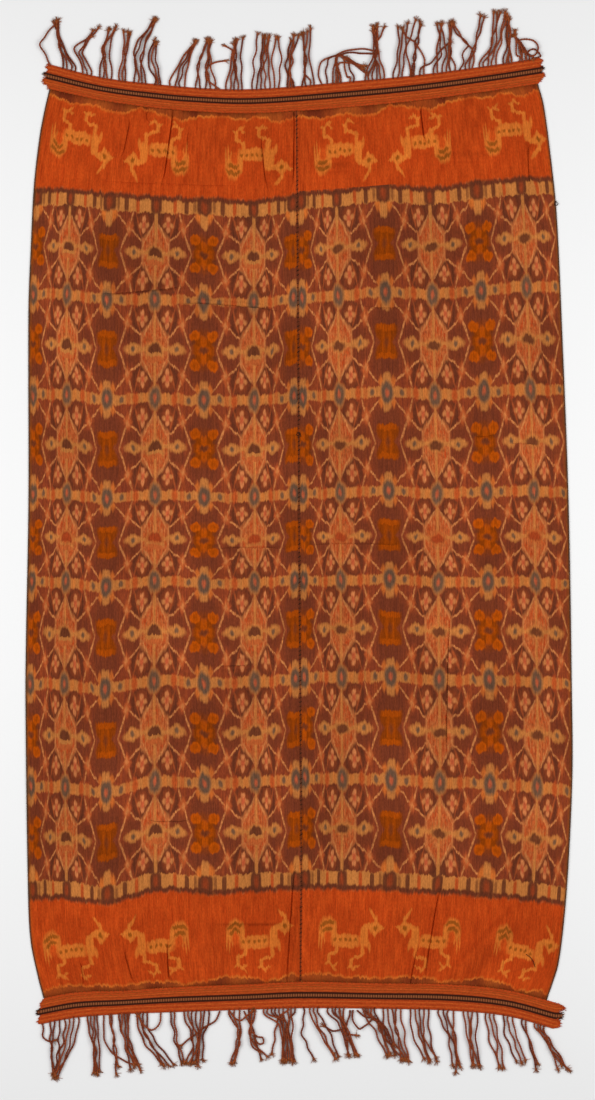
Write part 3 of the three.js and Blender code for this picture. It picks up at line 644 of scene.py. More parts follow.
def ikat_ends():
    """The same cotton dyed red, with a row of animals left in ochre and a dark strip along the band."""
    material, tree, shader = new_material("ikat_cotton_ends", COTTON_ROUGHNESS, COTTON_SPECULAR)
    thread = add(tree, "ShaderNodeUVMap", uv_map="thread")
    length = add(tree, "ShaderNodeSeparateXYZ", [add(tree, "ShaderNodeUVMap", uv_map="figure")])
    slipped = [warp_shift(tree, thread), COUNT_LENGTH, length.node.outputs["Y"]]
    from_end = add(tree, "ShaderNodeMath", slipped, operation="MULTIPLY_ADD")
    heights = [from_end, 1 / ANIMAL_HALF_HEIGHT, -ANIMAL_MIDDLE / ANIMAL_HALF_HEIGHT]
    height = add(tree, "ShaderNodeMath", heights, operation="MULTIPLY_ADD")
    animal = add(tree, "ShaderNodeCombineXYZ", [length, height, 1.0])
    colour = paint_chart(tree, field_red(tree, thread), animal, ANIMAL_CHART)
    drift = streaks(tree, thread, 90 * MM, 600 * MM, -7 * MM, 9 * MM, 1.0)
    drifted = add(tree, "ShaderNodeMath", [drift, from_end], operation="ADD")
    patches = streaks(tree, thread, 40 * MM, 300 * MM, 0.3, 1)
    colour = lay_over(tree, colour, linear(DYES["animal"]), drifted, 17 * MM, 13 * MM, 0.8, patches)
    depth = streaks(tree, thread, 70 * MM, 300 * MM, 0.5, 1.1)
    colour = lay_over(tree, colour, linear(DYES["strip"]), drifted, 12 * MM, 9.5 * MM, 0.9, depth)
    cotton_finish(tree, shader, thread, colour)
    return material


END_FIELD = 152 * MM  # how far from the bands the red ends reach before the border's own edge


def colour_panel(mesh):
    """Gives the faces near the end bands the end material and the others the field one."""
    figure = np.zeros(len(mesh.loops) * 2, np.float32)
    mesh.uv_layers["figure"].data.foreach_get("uv", figure)
    starts = np.zeros(len(mesh.polygons), np.int32)
    mesh.polygons.foreach_get("loop_start", starts)
    nearest_end = np.minimum.reduceat(figure[1::2], starts)
    mesh.polygons.foreach_set("material_index", (nearest_end < END_FIELD).astype(np.int32))


def finish_sheet(piece, thickness):
    """Gives a flat mesh its thickness, downwards from its upper side."""
    solid = piece.modifiers.new("thickness", "SOLIDIFY")
    solid.thickness = thickness
    solid.offset = -1


def show(name, mesh, *materials):
    """A mesh with its materials, put in the scene as one piece."""
    for material in materials:
        mesh.materials.append(material)
    piece = bpy.data.objects.new(name, mesh)
    bpy.context.scene.collection.objects.link(piece)
    return piece


def keep(piece, node):
    """Ties a piece to the body and hides the solid that it stands for."""
    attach(piece, "root")
    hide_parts(node)


field_cotton = ikat_field()
end_cotton = ikat_ends()
PANELS = [
    ("left_panel", (LEFT_SELVEDGE, CENTRE_SEAM), LEFT_FOLDS, LEFT_REPEAT, "cloth_panel_left"),
    ("right_panel", (CENTRE_SEAM, RIGHT_SELVEDGE), RIGHT_FOLDS, RIGHT_REPEAT, "cloth_panel_right"),
]
for name, edges, folds, repeat, node in PANELS:
    panel = show(name, panel_mesh(name, edges, folds, repeat), field_cotton, end_cotton)
    colour_panel(panel.data)
    finish_sheet(panel, PANEL_THICKNESS)
    keep(panel, node)


# End bands
# A narrow warp-faced band, tablet woven in orange cotton with two black lines, sewn across each end of
# the panels. Its cut ends are raw and fray into short red threads.

BAND_THICKNESS = 2.0 * MM
BAND_COLUMN_STEP = 4.0  # millimetres, as are the next five
SEWN_GAP = 0.3
BAND_CLEARANCE = 0.15
RIB_HEIGHT = 0.12
SEWN_RISE = 0.25  # the sewn edge rises and falls by this much along the band
SEWN_WAVE = 43  # along the band, for one radian of that
RIB_COUNT = 9
TOP_OUTER = [  # x, y of the band's fringed edge
    (-512, 962), (-397, 933), (-275, 918), (-191, 911), (-119, 909), (-48, 912), (69, 922), (230, 937),
    (383, 957), (490, 974),
]
BOTTOM_OUTER = [  # x, y
    (-524, -961), (-447, -947), (-355, -940), (-256, -936), (-103, -931), (0, -928), (150, -929), (301, -933),
    (414, -944), (510, -970),
]
TOP_BAND_ENDS = [  # share from the fringed edge, x of the raw left end, x of the raw right end
    (0, -500, 478), (0.14, -508, 486), (0.28, -503, 479), (0.42, -514, 488), (0.56, -507, 481),
    (0.7, -517, 491), (0.86, -506, 481), (1, -502, 477),
]
BOTTOM_BAND_ENDS = [
    (0, -518, 504), (0.08, -525, 519), (0.26, -521, 520), (0.34, -517, 513), (0.40, -526, 524),
    (0.60, -525, 523), (0.65, -515, 514), (0.74, -520, 527), (0.92, -516, 525), (1, -511, 498),
]


def band_points(outer, inner, ends, along, share):
    """Millimetre places on a band, at shares along it and shares in from its fringed edge."""
    places, lefts, rights = np.array(ends, float).T
    left = np.interp(share, places, lefts)
    right = np.interp(share, places, rights)
    x = left + (right - left) * along
    start = curve_through(outer, x)
    end = curve_through(inner, x)
    end = end - np.sign(end - start) * SEWN_GAP
    return x, start + (end - start) * share


def band_mesh(name, outer, inner, ends):
    """A band's upper side, ribbed along its length."""
    shares = np.linspace(0, 1, 2 * RIB_COUNT + 1)
    columns = round((ends[0][2] - ends[0][1]) / BAND_COLUMN_STEP)
    share, along = np.meshgrid(shares, np.linspace(0, 1, columns))
    share, along = share.ravel(), along.ravel()
    x, y = band_points(outer, inner, ends, along, share)
    ribs = RIB_HEIGHT * np.cos(share * RIB_COUNT * 2 * math.pi)
    z = BAND_CLEARANCE + ribs + SEWN_RISE * (1 + np.sin(x / SEWN_WAVE)) * share
    faces = grid_faces(len(shares), columns)
    if outer[0][1] < inner[0][1]:
        faces = [face[::-1] for face in faces]
    mesh = mesh_from(name, np.stack([x, y, z + BAND_THICKNESS / MM], 1) * MM, faces)
    give_uv(mesh, "band", np.stack([x * MM, share], 1))
    return mesh


BLACK_LINE = 0.95
STRIPES = [  # share in from the fringed edge, half its width, colour and strength; the fine ones are flecked
    (0.06, 0.014, "#7E2E10", 0.6), (0.13, 0.014, "#C8702E", 0.5), (0.20, 0.014, "#7E2E10", 0.55),
    (0.27, 0.014, "#C8702E", 0.5), (0.335, 0.014, "#702A0E", 0.7), (0.405, 0.040, "#26140E", BLACK_LINE),
    (0.585, 0.040, "#26140E", BLACK_LINE), (0.66, 0.014, "#8A5420", 0.5), (0.72, 0.014, "#6A3E14", 0.85),
    (0.77, 0.014, "#C8702E", 0.4), (0.82, 0.014, "#7A4A1A", 0.85), (0.90, 0.014, "#6A3E14", 0.85),
]
LADDER_PITCH = 5 * MM  # the small rungs between the black lines, drawn a little coarser than they are
LADDER_MIDDLE, LADDER_HALF = 0.495, 0.075  # shares of the band


def band_cotton():
    """Band cotton: orange warp ribs, two black lines with a brown ladder between them, matte."""
    material, tree, shader = new_material("band_cotton", COTTON_ROUGHNESS, COTTON_SPECULAR)
    place = add(tree, "ShaderNodeUVMap", uv_map="band")
    along = add(tree, "ShaderNodeSeparateXYZ", [place])
    share = along.node.outputs["Y"]
    # The band's streaks are sized in millimetres along it and in shares of its width across it
    clouds = streaks(tree, place, 16 * MM, 0.05, 0, 1)
    colour = lay_over(tree, linear("#B4461A"), linear("#A03A14"), clouds, 0, 1)
    rungs = add(tree, "ShaderNodeMath", [along, LADDER_PITCH / 2], operation="PINGPONG")
    rung_colour = lay_over(tree, linear("#5A2E1A"), linear("#8E5230"), rungs, 0.8 * MM, 1.7 * MM)
    ladder = add(tree, "ShaderNodeMath", [share, LADDER_MIDDLE, LADDER_HALF], operation="COMPARE")
    colour = lay_over(tree, colour, rung_colour, ladder, 0, 1)
    flecks = streaks(tree, place, 3 * MM, 0.04, 0.2, 1)
    for middle, half, stripe, strength in STRIPES:
        aside = add(tree, "ShaderNodeMath", [share, middle], operation="SUBTRACT")
        aside = add(tree, "ShaderNodeMath", [aside], operation="ABSOLUTE")
        gate = flecks if strength < BLACK_LINE else None
        colour = lay_over(tree, colour, linear(stripe), aside, half * 1.3, half * 0.7, strength, gate)
    colour = uneven(tree, colour, streaks(tree, place, 4 * MM, 0.06, 0.88, 1.12))
    tree.links.new(colour, shader.inputs["Base Color"])
    return material


def tube(route, radius, sides):
    """Vertices and faces of a closed tube along a route of points; the radius is one value or one a point."""
    route = np.asarray(route, float)
    ahead = np.gradient(route, axis=0)
    ahead /= np.linalg.norm(ahead, axis=1)[:, None]
    aside = np.cross(ahead, (0.0, 0.0, 1.0))
    aside /= np.maximum(np.linalg.norm(aside, axis=1), 1e-9)[:, None]
    above = np.cross(aside, ahead)
    turn = np.linspace(0, 2 * math.pi, sides, endpoint=False)
    ring = np.cos(turn)[None, :, None] * aside[:, None] + np.sin(turn)[None, :, None] * above[:, None]
    points = route[:, None] + ring * np.broadcast_to(radius, len(route))[:, None, None]
    faces = []
    for row in range(len(route) - 1):
        for side in range(sides):
            after = (side + 1) % sides
            a, b = row * sides + side, row * sides + after
            faces.append((a, a + sides, b + sides, b))
    faces.append(tuple(range(sides)))
    faces.append(tuple(range((len(route) - 1) * sides, len(route) * sides))[::-1])
    return points.reshape(-1, 3), faces


def join_tubes(name, tubes, uv_name, uv_values):
    """One mesh from many tubes, with one pair of UV values for each vertex."""
    vertices, faces, start = [], [], 0
    for points, sides in tubes:
        vertices.append(points)
        faces += [tuple(start + corner for corner in face) for face in sides]
        start += len(points)
    mesh = mesh_from(name, np.concatenate(vertices) * MM, faces)
    give_uv(mesh, uv_name, np.concatenate(uv_values))
    return mesh


FRAYED_THREADS = 70  # at each raw end
FRAYED_ROOT = 4  # millimetres from where a thread starts inside the band to the raw end
FRAYED_RADII = np.linspace(0.8, 0.5, 5)  # millimetres, from its root to its tip
BLACK_SHARES = (0.36, 0.62)  # the black lines and the ladder lie between these shares of the band
PLAIN_SHARE = 0.08  # a share where it is plain orange


def frayed_ends(name, outer, inner, ends, seed, reaches):
    """Short cut threads standing out of a band's two raw ends."""
    chance = np.random.default_rng(seed)
    tubes, values = [], []
    for side, reach in enumerate(reaches):
        outward = 2 * side - 1
        for thread in range(FRAYED_THREADS):
            share = chance.uniform(0.02, 0.98)
            x, y = band_points(outer, inner, ends, np.array([float(side)]), np.array([share]))
            length = reach * chance.uniform(0.4, 1)
            slope = chance.normal(0, 0.25) + (0.5 - share) * 0.3
            lift = chance.uniform(0.9, 2.2)
            steps = np.linspace(0, 1, len(FRAYED_RADII))
            bend = chance.normal(0, 1.2)
            route = np.stack([
                x[0] + outward * (steps * length - FRAYED_ROOT),
                y[0] + slope * steps * length + bend * np.sin(steps * math.pi),
                lift + 0 * steps,
            ], 1)
            points, faces = tube(route, FRAYED_RADII, 4)
            tubes.append((points, faces))
            stripe = share if BLACK_SHARES[0] <= share <= BLACK_SHARES[1] else PLAIN_SHARE
            values.append(np.tile([x[0] * MM, stripe], (len(points), 1)))
    return join_tubes(name, tubes, "band", values)


orange_cotton = band_cotton()
BANDS = [
    ("top_band", TOP_OUTER, TOP_SEAM, TOP_BAND_ENDS, "end_band_top", (7, 7)),
    ("bottom_band", BOTTOM_OUTER, BOTTOM_SEAM, BOTTOM_BAND_ENDS, "end_band_bottom", (7, 10)),
]
for seed, (name, outer, inner, ends, node, reaches) in enumerate(BANDS):
    band = show(name, band_mesh(name, outer, inner, ends), orange_cotton)
    finish_sheet(band, BAND_THICKNESS)
    keep(band, node)
    thread_mesh = frayed_ends(name + "_threads", outer, inner, ends, seed, reaches)
    threads = show(name + "_threads", thread_mesh, orange_cotton)
    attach(threads, "root")


# Sewing
# Small slanting overcast stitches of cotton thread: near-black where the two panels meet edge to edge, and
# orange-brown where each band is sewn on. A few loose ends of the dark thread lie on the cloth.

STITCH_STEP = 5.0  # millimetres between the points of a seam line
STITCH_INSET = 4  # millimetres from the end of a seam to its first stitch
STITCH_RISE = 2.5  # how high a stitch arches, in radii of its thread
BAND_TOP = BAND_THICKNESS / MM + 0.5  # the least height of a band's stitches, in millimetres
SEAM_STITCH = (8.5, 2.0, 1.2, 0.55)  # spacing, half its width, half its slant and thread radius
BAND_STITCH = (9.0, 1.8, 1.4, 0.45)


def cloth_top(x, y):
    """Height of the upper side of the panels, in millimetres."""
    heights = [fold_cloth(folds, x, y)[2] for folds in (LEFT_FOLDS, RIGHT_FOLDS)]
    return np.maximum(*heights) + PANEL_THICKNESS / MM


def stitch_tree():
    """A stitch laid across each point of a line, turned along it and a little uneven."""
    tree = bpy.data.node_groups.new("overcast_stitches", "GeometryNodeTree")
    tree.interface.new_socket("Geometry", in_out="OUTPUT", socket_type="NodeSocketGeometry")
    tree.interface.new_socket("Geometry", in_out="INPUT", socket_type="NodeSocketGeometry")
    for name in ("Spacing", "Half Width", "Half Slant", "Thread Radius"):
        tree.interface.new_socket(name, in_out="INPUT", socket_type="NodeSocketFloat")
    tree.interface.new_socket("Seed", in_out="INPUT", socket_type="NodeSocketInt")
    tree.interface.new_socket("Thread", in_out="INPUT", socket_type="NodeSocketMaterial")
    given = add(tree, "NodeGroupInput").node.outputs
    line = add(tree, "GeometryNodeMeshToCurve", [given["Geometry"]])
    spaced = {"Curve": line, "Length": given["Spacing"]}
    points = add(tree, "GeometryNodeResampleCurve", spaced, mode="LENGTH")
    end = add(tree, "ShaderNodeCombineXYZ", [given["Half Width"], given["Half Slant"], 0.0])
    start = add(tree, "ShaderNodeVectorMath", {0: end, "Scale": -1.0}, operation="SCALE")
    rise = add(tree, "ShaderNodeMath", [given["Thread Radius"], STITCH_RISE], operation="MULTIPLY")
    middle = add(tree, "ShaderNodeCombineXYZ", [0.0, 0.0, rise])
    bend = {"Resolution": 4, "Start": start, "Middle": middle, "End": end}
    bend = add(tree, "GeometryNodeCurveQuadraticBezier", bend)
    section = {"Resolution": 5, "Radius": given["Thread Radius"]}
    section = add(tree, "GeometryNodeCurvePrimitiveCircle", section)
    stitch = {"Curve": bend, "Profile Curve": section, "Fill Caps": True}
    stitch = add(tree, "GeometryNodeCurveToMesh", stitch)
    heading = {"Vector": add(tree, "GeometryNodeInputTangent")}
    turn = add(tree, "FunctionNodeAlignRotationToVector", heading, axis="Y", pivot_axis="Z")
    scale = {0: (0.8, 0.4, 0.9), 1: (1.2, 1.6, 1.1), "Seed": given["Seed"]}
    scale = add(tree, "FunctionNodeRandomValue", scale, data_type="FLOAT_VECTOR")
    placed = {"Points": points, "Instance": stitch, "Rotation": turn, "Scale": scale}
    placed = add(tree, "GeometryNodeInstanceOnPoints", placed)
    sewn = add(tree, "GeometryNodeRealizeInstances", [placed])
    sewn = add(tree, "GeometryNodeSetMaterial", {"Geometry": sewn, "Material": given["Thread"]})
    add(tree, "NodeGroupOutput", [sewn])
    return tree


def sew(name, line, stitch, seed, thread):
    """Stitches along a line of millimetre points, as one plain mesh."""
    edges = [(corner, corner + 1) for corner in range(len(line) - 1)]
    mesh = bpy.data.meshes.new(name)
    mesh.from_pydata(line * MM, edges, [])
    piece = show(name, mesh)
    nodes = piece.modifiers.new("stitches", "NODES")
    nodes.node_group = STITCHES
    inputs = [item for item in STITCHES.interface.items_tree if item.in_out == "INPUT"]
    sizes = [size * MM for size in stitch]
    for item, value in zip(inputs[1:], (*sizes, seed, thread)):
        nodes[item.identifier] = value
    evaluated = piece.evaluated_get(bpy.context.evaluated_depsgraph_get())
    piece.data = bpy.data.meshes.new_from_object(evaluated)
    piece.modifiers.remove(nodes)
    piece.data.polygons.foreach_set("use_smooth", np.ones(len(piece.data.polygons), bool))
    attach(piece, "root")


def sewing_thread(name, dark, light):
    """Spun cotton thread: matte, with the light and dark flecks of its twist."""
    material, tree, shader = new_material(name, COTTON_ROUGHNESS, COTTON_SPECULAR)
    spot = add(tree, "ShaderNodeTexCoord", (), "Object")
    fleck = add(tree, "ShaderNodeTexNoise", {"Vector": spot, "Scale": 1 / (2.5 * MM), "Detail": 1.0})
    colour = lay_over(tree, linear(dark), linear(light), fleck, 0.35, 0.65)
    tree.links.new(colour, shader.inputs["Base Color"])
    return material


STITCHES = stitch_tree()
dark_thread = sewing_thread("dark_brown_sewing_thread", "#24160F", "#3E261A")
orange_thread = sewing_thread("orange_sewing_thread", "#7A3614", "#A85A26")
seam_y = np.arange(BOTTOM_SEAM[5][1] + STITCH_INSET, TOP_SEAM[5][1] - STITCH_INSET, STITCH_STEP)
seam_x = curve_through(CENTRE_SEAM, seam_y)
seam = np.stack([seam_x, seam_y, cloth_top(seam_x, seam_y)], 1)
sew("centre_seam_stitches", seam, SEAM_STITCH, 3, dark_thread)
for name, line, ends, seed in (
    ("top_band_stitches", TOP_SEAM, TOP_BAND_ENDS, 4),
    ("bottom_band_stitches", BOTTOM_SEAM, BOTTOM_BAND_ENDS, 5),
):
    seam_x = np.arange(ends[-1][1] + STITCH_INSET, ends[-1][2] - STITCH_INSET, STITCH_STEP)
    seam_y = curve_through(line, seam_x)
    seam_z = np.maximum(cloth_top(seam_x, seam_y), BAND_TOP)
    sew(name, np.stack([seam_x, seam_y, seam_z], 1), BAND_STITCH, seed, orange_thread)

LOOSE_RADIUS = 0.6  # millimetres; the thread's loose ends are drawn a little thicker than they are
LOOSE_STEP = 1.6
LOOSE_ENDS = [  # x and y in millimetres along each one
    ((514, 686), (510, 683), (510, 678), (514, 677), (516, 681), (511, 683), (508, 676)),
    ((452, -820), (460, -826), (466, -834), (470, -846)),
    ((-6, 224), (-1, 221), (-3, 216), (-7, 219), (-1, 222), (2, 214)),
]


def smooth_route(points, step):
    """Places about a step apart on a smooth line through given points, and how far along they are."""
    points = np.array(points, float)
    along = np.concatenate([[0], np.cumsum(np.linalg.norm(np.diff(points, axis=0), axis=1))])
    at = np.linspace(0, along[-1], max(4, round(along[-1] / step)))
    return np.stack([curve_through(list(zip(along, column)), at) for column in points.T], 1), at


loose_tubes = []
for points in LOOSE_ENDS:
    route, at = smooth_route(points, LOOSE_STEP)
    curl = 1.3 + 0.6 * np.sin(at / 3)  # how many radii its middle lies above the cloth
    height = cloth_top(*route.T) + LOOSE_RADIUS * curl
    loose_tubes.append(tube(np.column_stack([route, height]), LOOSE_RADIUS, 6))
loose_values = [np.zeros((len(points), 2)) for points, faces in loose_tubes]
loose_mesh = join_tubes("loose_thread_ends", loose_tubes, "cord", loose_values)
loose_ends = show("loose_thread_ends", loose_mesh, dark_thread)
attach(loose_ends, "root")


# Fringe
# The warp ends beyond each band, twisted by hand into two-ply cords of red-brown cotton and knotted. They
# lie as they fell: in clumps that cross and cling together, with a few loops and frayed tips.

CORD_RADIUS = 1.3  # millimetres, of one ply
CORD_TWIST = 8.0  # millimetres for one turn
CORD_STEP = 2.4  # millimetres between the points of a route
CORD_LAYER = 1.5  # how much higher a cord lies than the one it crosses
CORD_LAYERS = 3
PLY_ASIDE = 0.8  # from the middle of a cord to that of a ply, in radii of the ply
ROOT_DEPTH = 2.5  # how far a root reaches into the band, in millimetres
STEM_LENGTH = 9  # how far a cord runs straight out of the band before it joins its clump
WAIST_STRAY = (4.0, 8.0)  # how far single cords stray from their clump across and along, at its waist
TIP_STRAY = (3.0, 4.0)
CORD_WAVES = (2.6, 1.0)  # the most that a cord waves across and along
KNOT_HALF = 3.4
KNOT_RADIUS = 2.5
TIP_HAIRS = 13
HAIR_RADII = np.linspace(0.65, 0.4, 4)
KNOT_START, KNOT_SHARE, HAIR_START = 0.9, 0.93, 0.95  # shares along a cord, which its colour follows
TOP_CLUMPS = [  # first and last root x, cords; waist x, y and the share of the roots' width left there;
    # tip x, y, and how far the tips reach across and rise from the first to the last
    (-478, -446, 4, -484, 1004, 0.3, -487, 1043, 10, 0),
    (-438, -414, 3, -438, 990, 0.6, -410, 1025, 16, 10),
    (-404, -374, 4, -388, 990, 0.4, -376, 1029, 18, 0),
    (-364, -346, 3, -352, 984, 0.4, -344, 1021, 10, 0),
    (-336, -304, 4, -322, 986, 0.5, -293, 1041, 8, -4),
    (-294, -276, 3, -294, 972, 0.6, -290, 1000, 10, 0),
    (-264, -226, 4, -224, 968, 0.35, -210, 1003, 10, 2),
    (-214, -164, 5, -190, 954, 0.6, -181, 1004, 10, 0),
    (-152, -112, 5, -130, 980, 0.6, -131, 1004, 40, 14),
    (-100, -38, 7, -66, 965, 0.9, -64, 1013, 46, -8),
    (-28, -10, 4, -22, 960, 0.25, -8, 1013, 24, 10),
    (0, 32, 4, 10, 956, 0.4, 12, 1022, 28, 12),
    (62, 84, 4, 76, 966, 0.5, 127, 950, 10, -10),
    (96, 110, 2, 98, 948, 0.8, 92, 968, 8, 0),
    (126, 172, 6, 152, 984, 0.25, 152, 1034, 20, 12),
    (182, 208, 3, 202, 972, 0.6, 206, 1030, 24, -2),
    (218, 230, 3, 226, 984, 0.5, 237, 1041, 10, -10),
    (262, 314, 6, 292, 985, 0.5, 291, 1040, 34, 2),
    (327, 342, 2, 349, 990, 0.3, 362, 1052, 4, 0),
    (354, 396, 5, 392, 1000, 0.7, 402, 1060, 32, 0),
    (404, 426, 4, 418, 1000, 0.4, 416, 1052, 12, 0),
    (436, 462, 4, 440, 990, 0.6, 431, 1016, 10, 0),
]
BOTTOM_CLUMPS = [
    (-504, -438, 7, -478, -1004, 0.85, -490, -1060, 12, 0),
    (-428, -402, 4, -408, -1010, 0.5, -406, -1059, 18, 6),
    (-384, -374, 2, -374, -1000, 0.7, -366, -1052, 5, 0),
    (-364, -338, 5, -346, -998, 0.6, -328, -1043, 16, -4),
    (-330, -302, 4, -308, -984, 0.7, -266, -1040, 34, 4),
    (-262, -248, 2, -254, -990, 1.0, -235, -1030, 16, -6),
    (-236, -178, 7, -206, -992, 0.45, -210, -1034, 30, 4),
    (-146, -116, 3, -118, -984, 0.4, -133, -1037, 6, 0),
    (-106, -86, 3, -94, -982, 0.5, -76, -1024, 14, 2),
    (-76, -6, 9, -30, -964, 0.3, -25, -1031, 30, 2),
    (4, 10, 1, 10, -984, 0.5, 24, -1031, 0, 0),
    (16, 40, 3, 44, -972, 0.6, 72, -1017, 12, 6),
    (52, 92, 5, 84, -964, 0.2, 104, -1019, 28, 8),
    (122, 152, 5, 156, -966, 0.4, 180, -1021, 16, 0),
    (162, 206, 5, 194, -984, 0.8, 208, -1031, 22, -6),
    (216, 262, 5, 248, -984, 0.8, 261, -1031, 30, 0),
    (272, 312, 4, 302, -990, 0.6, 316, -1044, 10, 0),
    (322, 358, 4, 344, -988, 0.75, 352, -1041, 26, 0),
    (368, 392, 3, 390, -994, 0.4, 398, -1047, 6, 0),
    (402, 430, 3, 424, -988, 0.6, 442, -1031, 24, 0),
    (440, 456, 2, 462, -1000, 0.5, 475, -1044, 10, 14),
    (466, 492, 4, 504, -1000, 0.6, 529, -1048, 30, 10),
]
TOP_LOOPS = [  # x and y in millimetres along single cords that wander off, from the root to the tip
    ((-499, 957), (-512, 982), (-518, 1004), (-500, 1026), (-487, 1044)),
    ((-160, 908), (-184, 928), (-188, 944), (-172, 962), (-150, 966)),
    ((44, 918), (36, 940), (43, 962), (64, 975), (118, 990), (152, 985)),
    ((54, 919), (55, 964), (88, 980), (146, 980)),
    ((248, 936), (247, 968), (234, 1000), (214, 1012), (206, 1026)),
    ((239, 936), (242, 952), (264, 963), (280, 986), (299, 1003)),
    ((318, 946), (327, 962), (324, 978), (336, 996), (312, 1022), (304, 1038)),
    ((344, 950), (348, 978), (324, 1012), (308, 1038)),
    ((446, 964), (438, 1004), (462, 1008), (477, 992), (466, 976), (446, 984)),
    ((470, 968), (456, 982), (470, 988), (480, 976), (468, 970)),
    ((453, 966), (450, 986), (438, 998), (430, 1014)),
]
BOTTOM_LOOPS = [
    ((-515, -958), (-512, -984), (-502, -994), (-490, -992)),
    ((-392, -943), (-391, -988), (-378, -1014), (-346, -1036), (-334, -1040)),
    ((-278, -937), (-282, -962), (-298, -971), (-312, -962), (-322, -944)),
    ((-160, -934), (-168, -952), (-190, -966), (-222, -990), (-236, -1002)),
    ((-140, -934), (-130, -948), (-118, -952), (-104, -942), (-96, -934)),
    ((-112, -934), (-88, -984), (-74, -986), (-72, -996), (-82, -1000), (-90, -990)),
    ((-22, -930), (-44, -950), (-50, -984), (-56, -1018)),
    ((100, -932), (98, -950), (88, -966), (68, -974), (48, -964)),
    ((106, -932), (107, -956), (118, -970), (132, -962), (144, -950)),
    ((80, -931), (84, -966), (92, -978), (112, -982)),
    ((114, -932), (130, -945), (150, -948), (172, -968), (186, -1000)),
]


def cord_route(points, layer, chance):
    """A cord through its points, with the small waves that the twist gives it."""
    flat, at = smooth_route(points, CORD_STEP)
    share = at / at[-1]
    slack = np.sin(share * math.pi)
    for axis, most in enumerate(CORD_WAVES):
        wave = chance.uniform(0.3, 1) * most * np.sin(at / chance.uniform(5, 9) + chance.uniform(0, 6))
        flat[:, axis] += wave * slack
    lift = CORD_RADIUS * 2 + layer * CORD_LAYER * slack ** 2
    return np.column_stack([flat, lift]), at


def cord_plies(route, at, start):
    """The two plies of one cord, wound round each other."""
    ahead = np.gradient(route, axis=0)
    ahead /= np.linalg.norm(ahead, axis=1)[:, None]
    aside = np.cross(ahead, (0.0, 0.0, 1.0))
    above = np.array([0, 0, 1.0])
    for half_turn in (0, math.pi):
        turn = start + half_turn + at / CORD_TWIST * 2 * math.pi
        offset = np.cos(turn)[:, None] * aside + np.sin(turn)[:, None] * above
        yield tube(route + offset * CORD_RADIUS * PLY_ASIDE, CORD_RADIUS, 5)


def clump_cords(clumps, outer, inwards, chance):
    """The points of every cord in the clumps: its root in the band, the clump's waist, and its tip."""
    for first, last, count, waist_x, waist_y, pinch, tip_x, tip_y, reach, rise in clumps:
        for order in range(count):
            aside = (order + 0.5) / count - 0.5
            x = (first + last) / 2 + (last - first) * aside
            edge = curve_through(outer, np.array([x]))[0]
            root = (x, edge + inwards * ROOT_DEPTH)
            stem = (x + chance.normal(0, 1), edge - inwards * STEM_LENGTH)
            waist = (waist_x + (last - first) * pinch * aside, waist_y)
            waist = waist + chance.normal(0, WAIST_STRAY)
            tip = (tip_x + reach * aside, tip_y + rise * aside)
            tip = tip + chance.normal(0, TIP_STRAY)
            yield root, stem, waist, tip


def fringe_mesh(name, clumps, loops, outer, inwards, seed):
    """All the cords of one end, each with its knot and its frayed tip."""
    chance = np.random.default_rng(seed)
    tubes, values = [], []

    def keep_tube(points, faces, shares, shade):
        tubes.append((points, faces))
        along = np.repeat(shares, len(points) // len(shares))
        values.append(np.stack([along, np.full(len(points), shade)], 1))

    cords = list(clump_cords(clumps, outer, inwards, chance)) + loops
    for order, points in enumerate(cords):
        route, at = cord_route(points, order % CORD_LAYERS, chance)
        shade = chance.uniform(0, 1)
        for plies in cord_plies(route, at, chance.uniform(0, 6)):
            keep_tube(*plies, np.linspace(0, KNOT_START, len(route)), shade)
        heading = route[-1] - route[-4]
        heading /= np.linalg.norm(heading)
        rings = np.linspace(-1, 1, 7)
        knot = route[-1] + heading * KNOT_HALF * rings[:, None]
        round_off = np.sqrt(np.maximum(1 - rings ** 2, 0.04))
        keep_tube(*tube(knot, KNOT_RADIUS * round_off, 6), np.full(len(rings), KNOT_SHARE), shade)
        for hair in range(TIP_HAIRS):
            angle = chance.normal(0, 0.75)
            away = np.array([
                heading[0] * math.cos(angle) - heading[1] * math.sin(angle),
                heading[0] * math.sin(angle) + heading[1] * math.cos(angle),
                0,
            ])
            steps = np.linspace(0, 1, len(HAIR_RADII))
            strand = route[-1] + away * chance.uniform(5, 11) * steps[:, None]
            strand[:, 2] = np.linspace(route[-1][2], chance.uniform(0.6, 3.5), len(steps))
            keep_tube(*tube(strand, HAIR_RADII, 3), np.linspace(HAIR_START, 1, len(steps)), shade)
    return join_tubes(name, tubes, "cord", values)


def fringe_yarn():
    """Twisted cotton yarn: red-brown, darker in the twist, with paler orange-brown frayed tips."""
    material, tree, shader = new_material("fringe_yarn", roughness=0.85, specular=0.1)
    along = add(tree, "ShaderNodeSeparateXYZ", [add(tree, "ShaderNodeUVMap", uv_map="cord")])
    colour = lay_over(tree, linear("#682C18"), linear("#8C4224"), along.node.outputs["Y"], 0, 1)
    colour = lay_over(tree, colour, linear("#9A5628"), along, 0.88, 1.0, 0.9)
    spot = add(tree, "ShaderNodeTexCoord", (), "Object")
    fleck = add(tree, "ShaderNodeTexNoise", {"Vector": spot, "Scale": 1 / (2.4 * MM), "Detail": 1.0})
    limits = {"Value": fleck, "From Min": 0.35, "From Max": 0.65, "To Min": 0.65, "To Max": 1.4}
    colour = uneven(tree, colour, add(tree, "ShaderNodeMapRange", limits))
    tree.links.new(colour, shader.inputs["Base Color"])
    return material


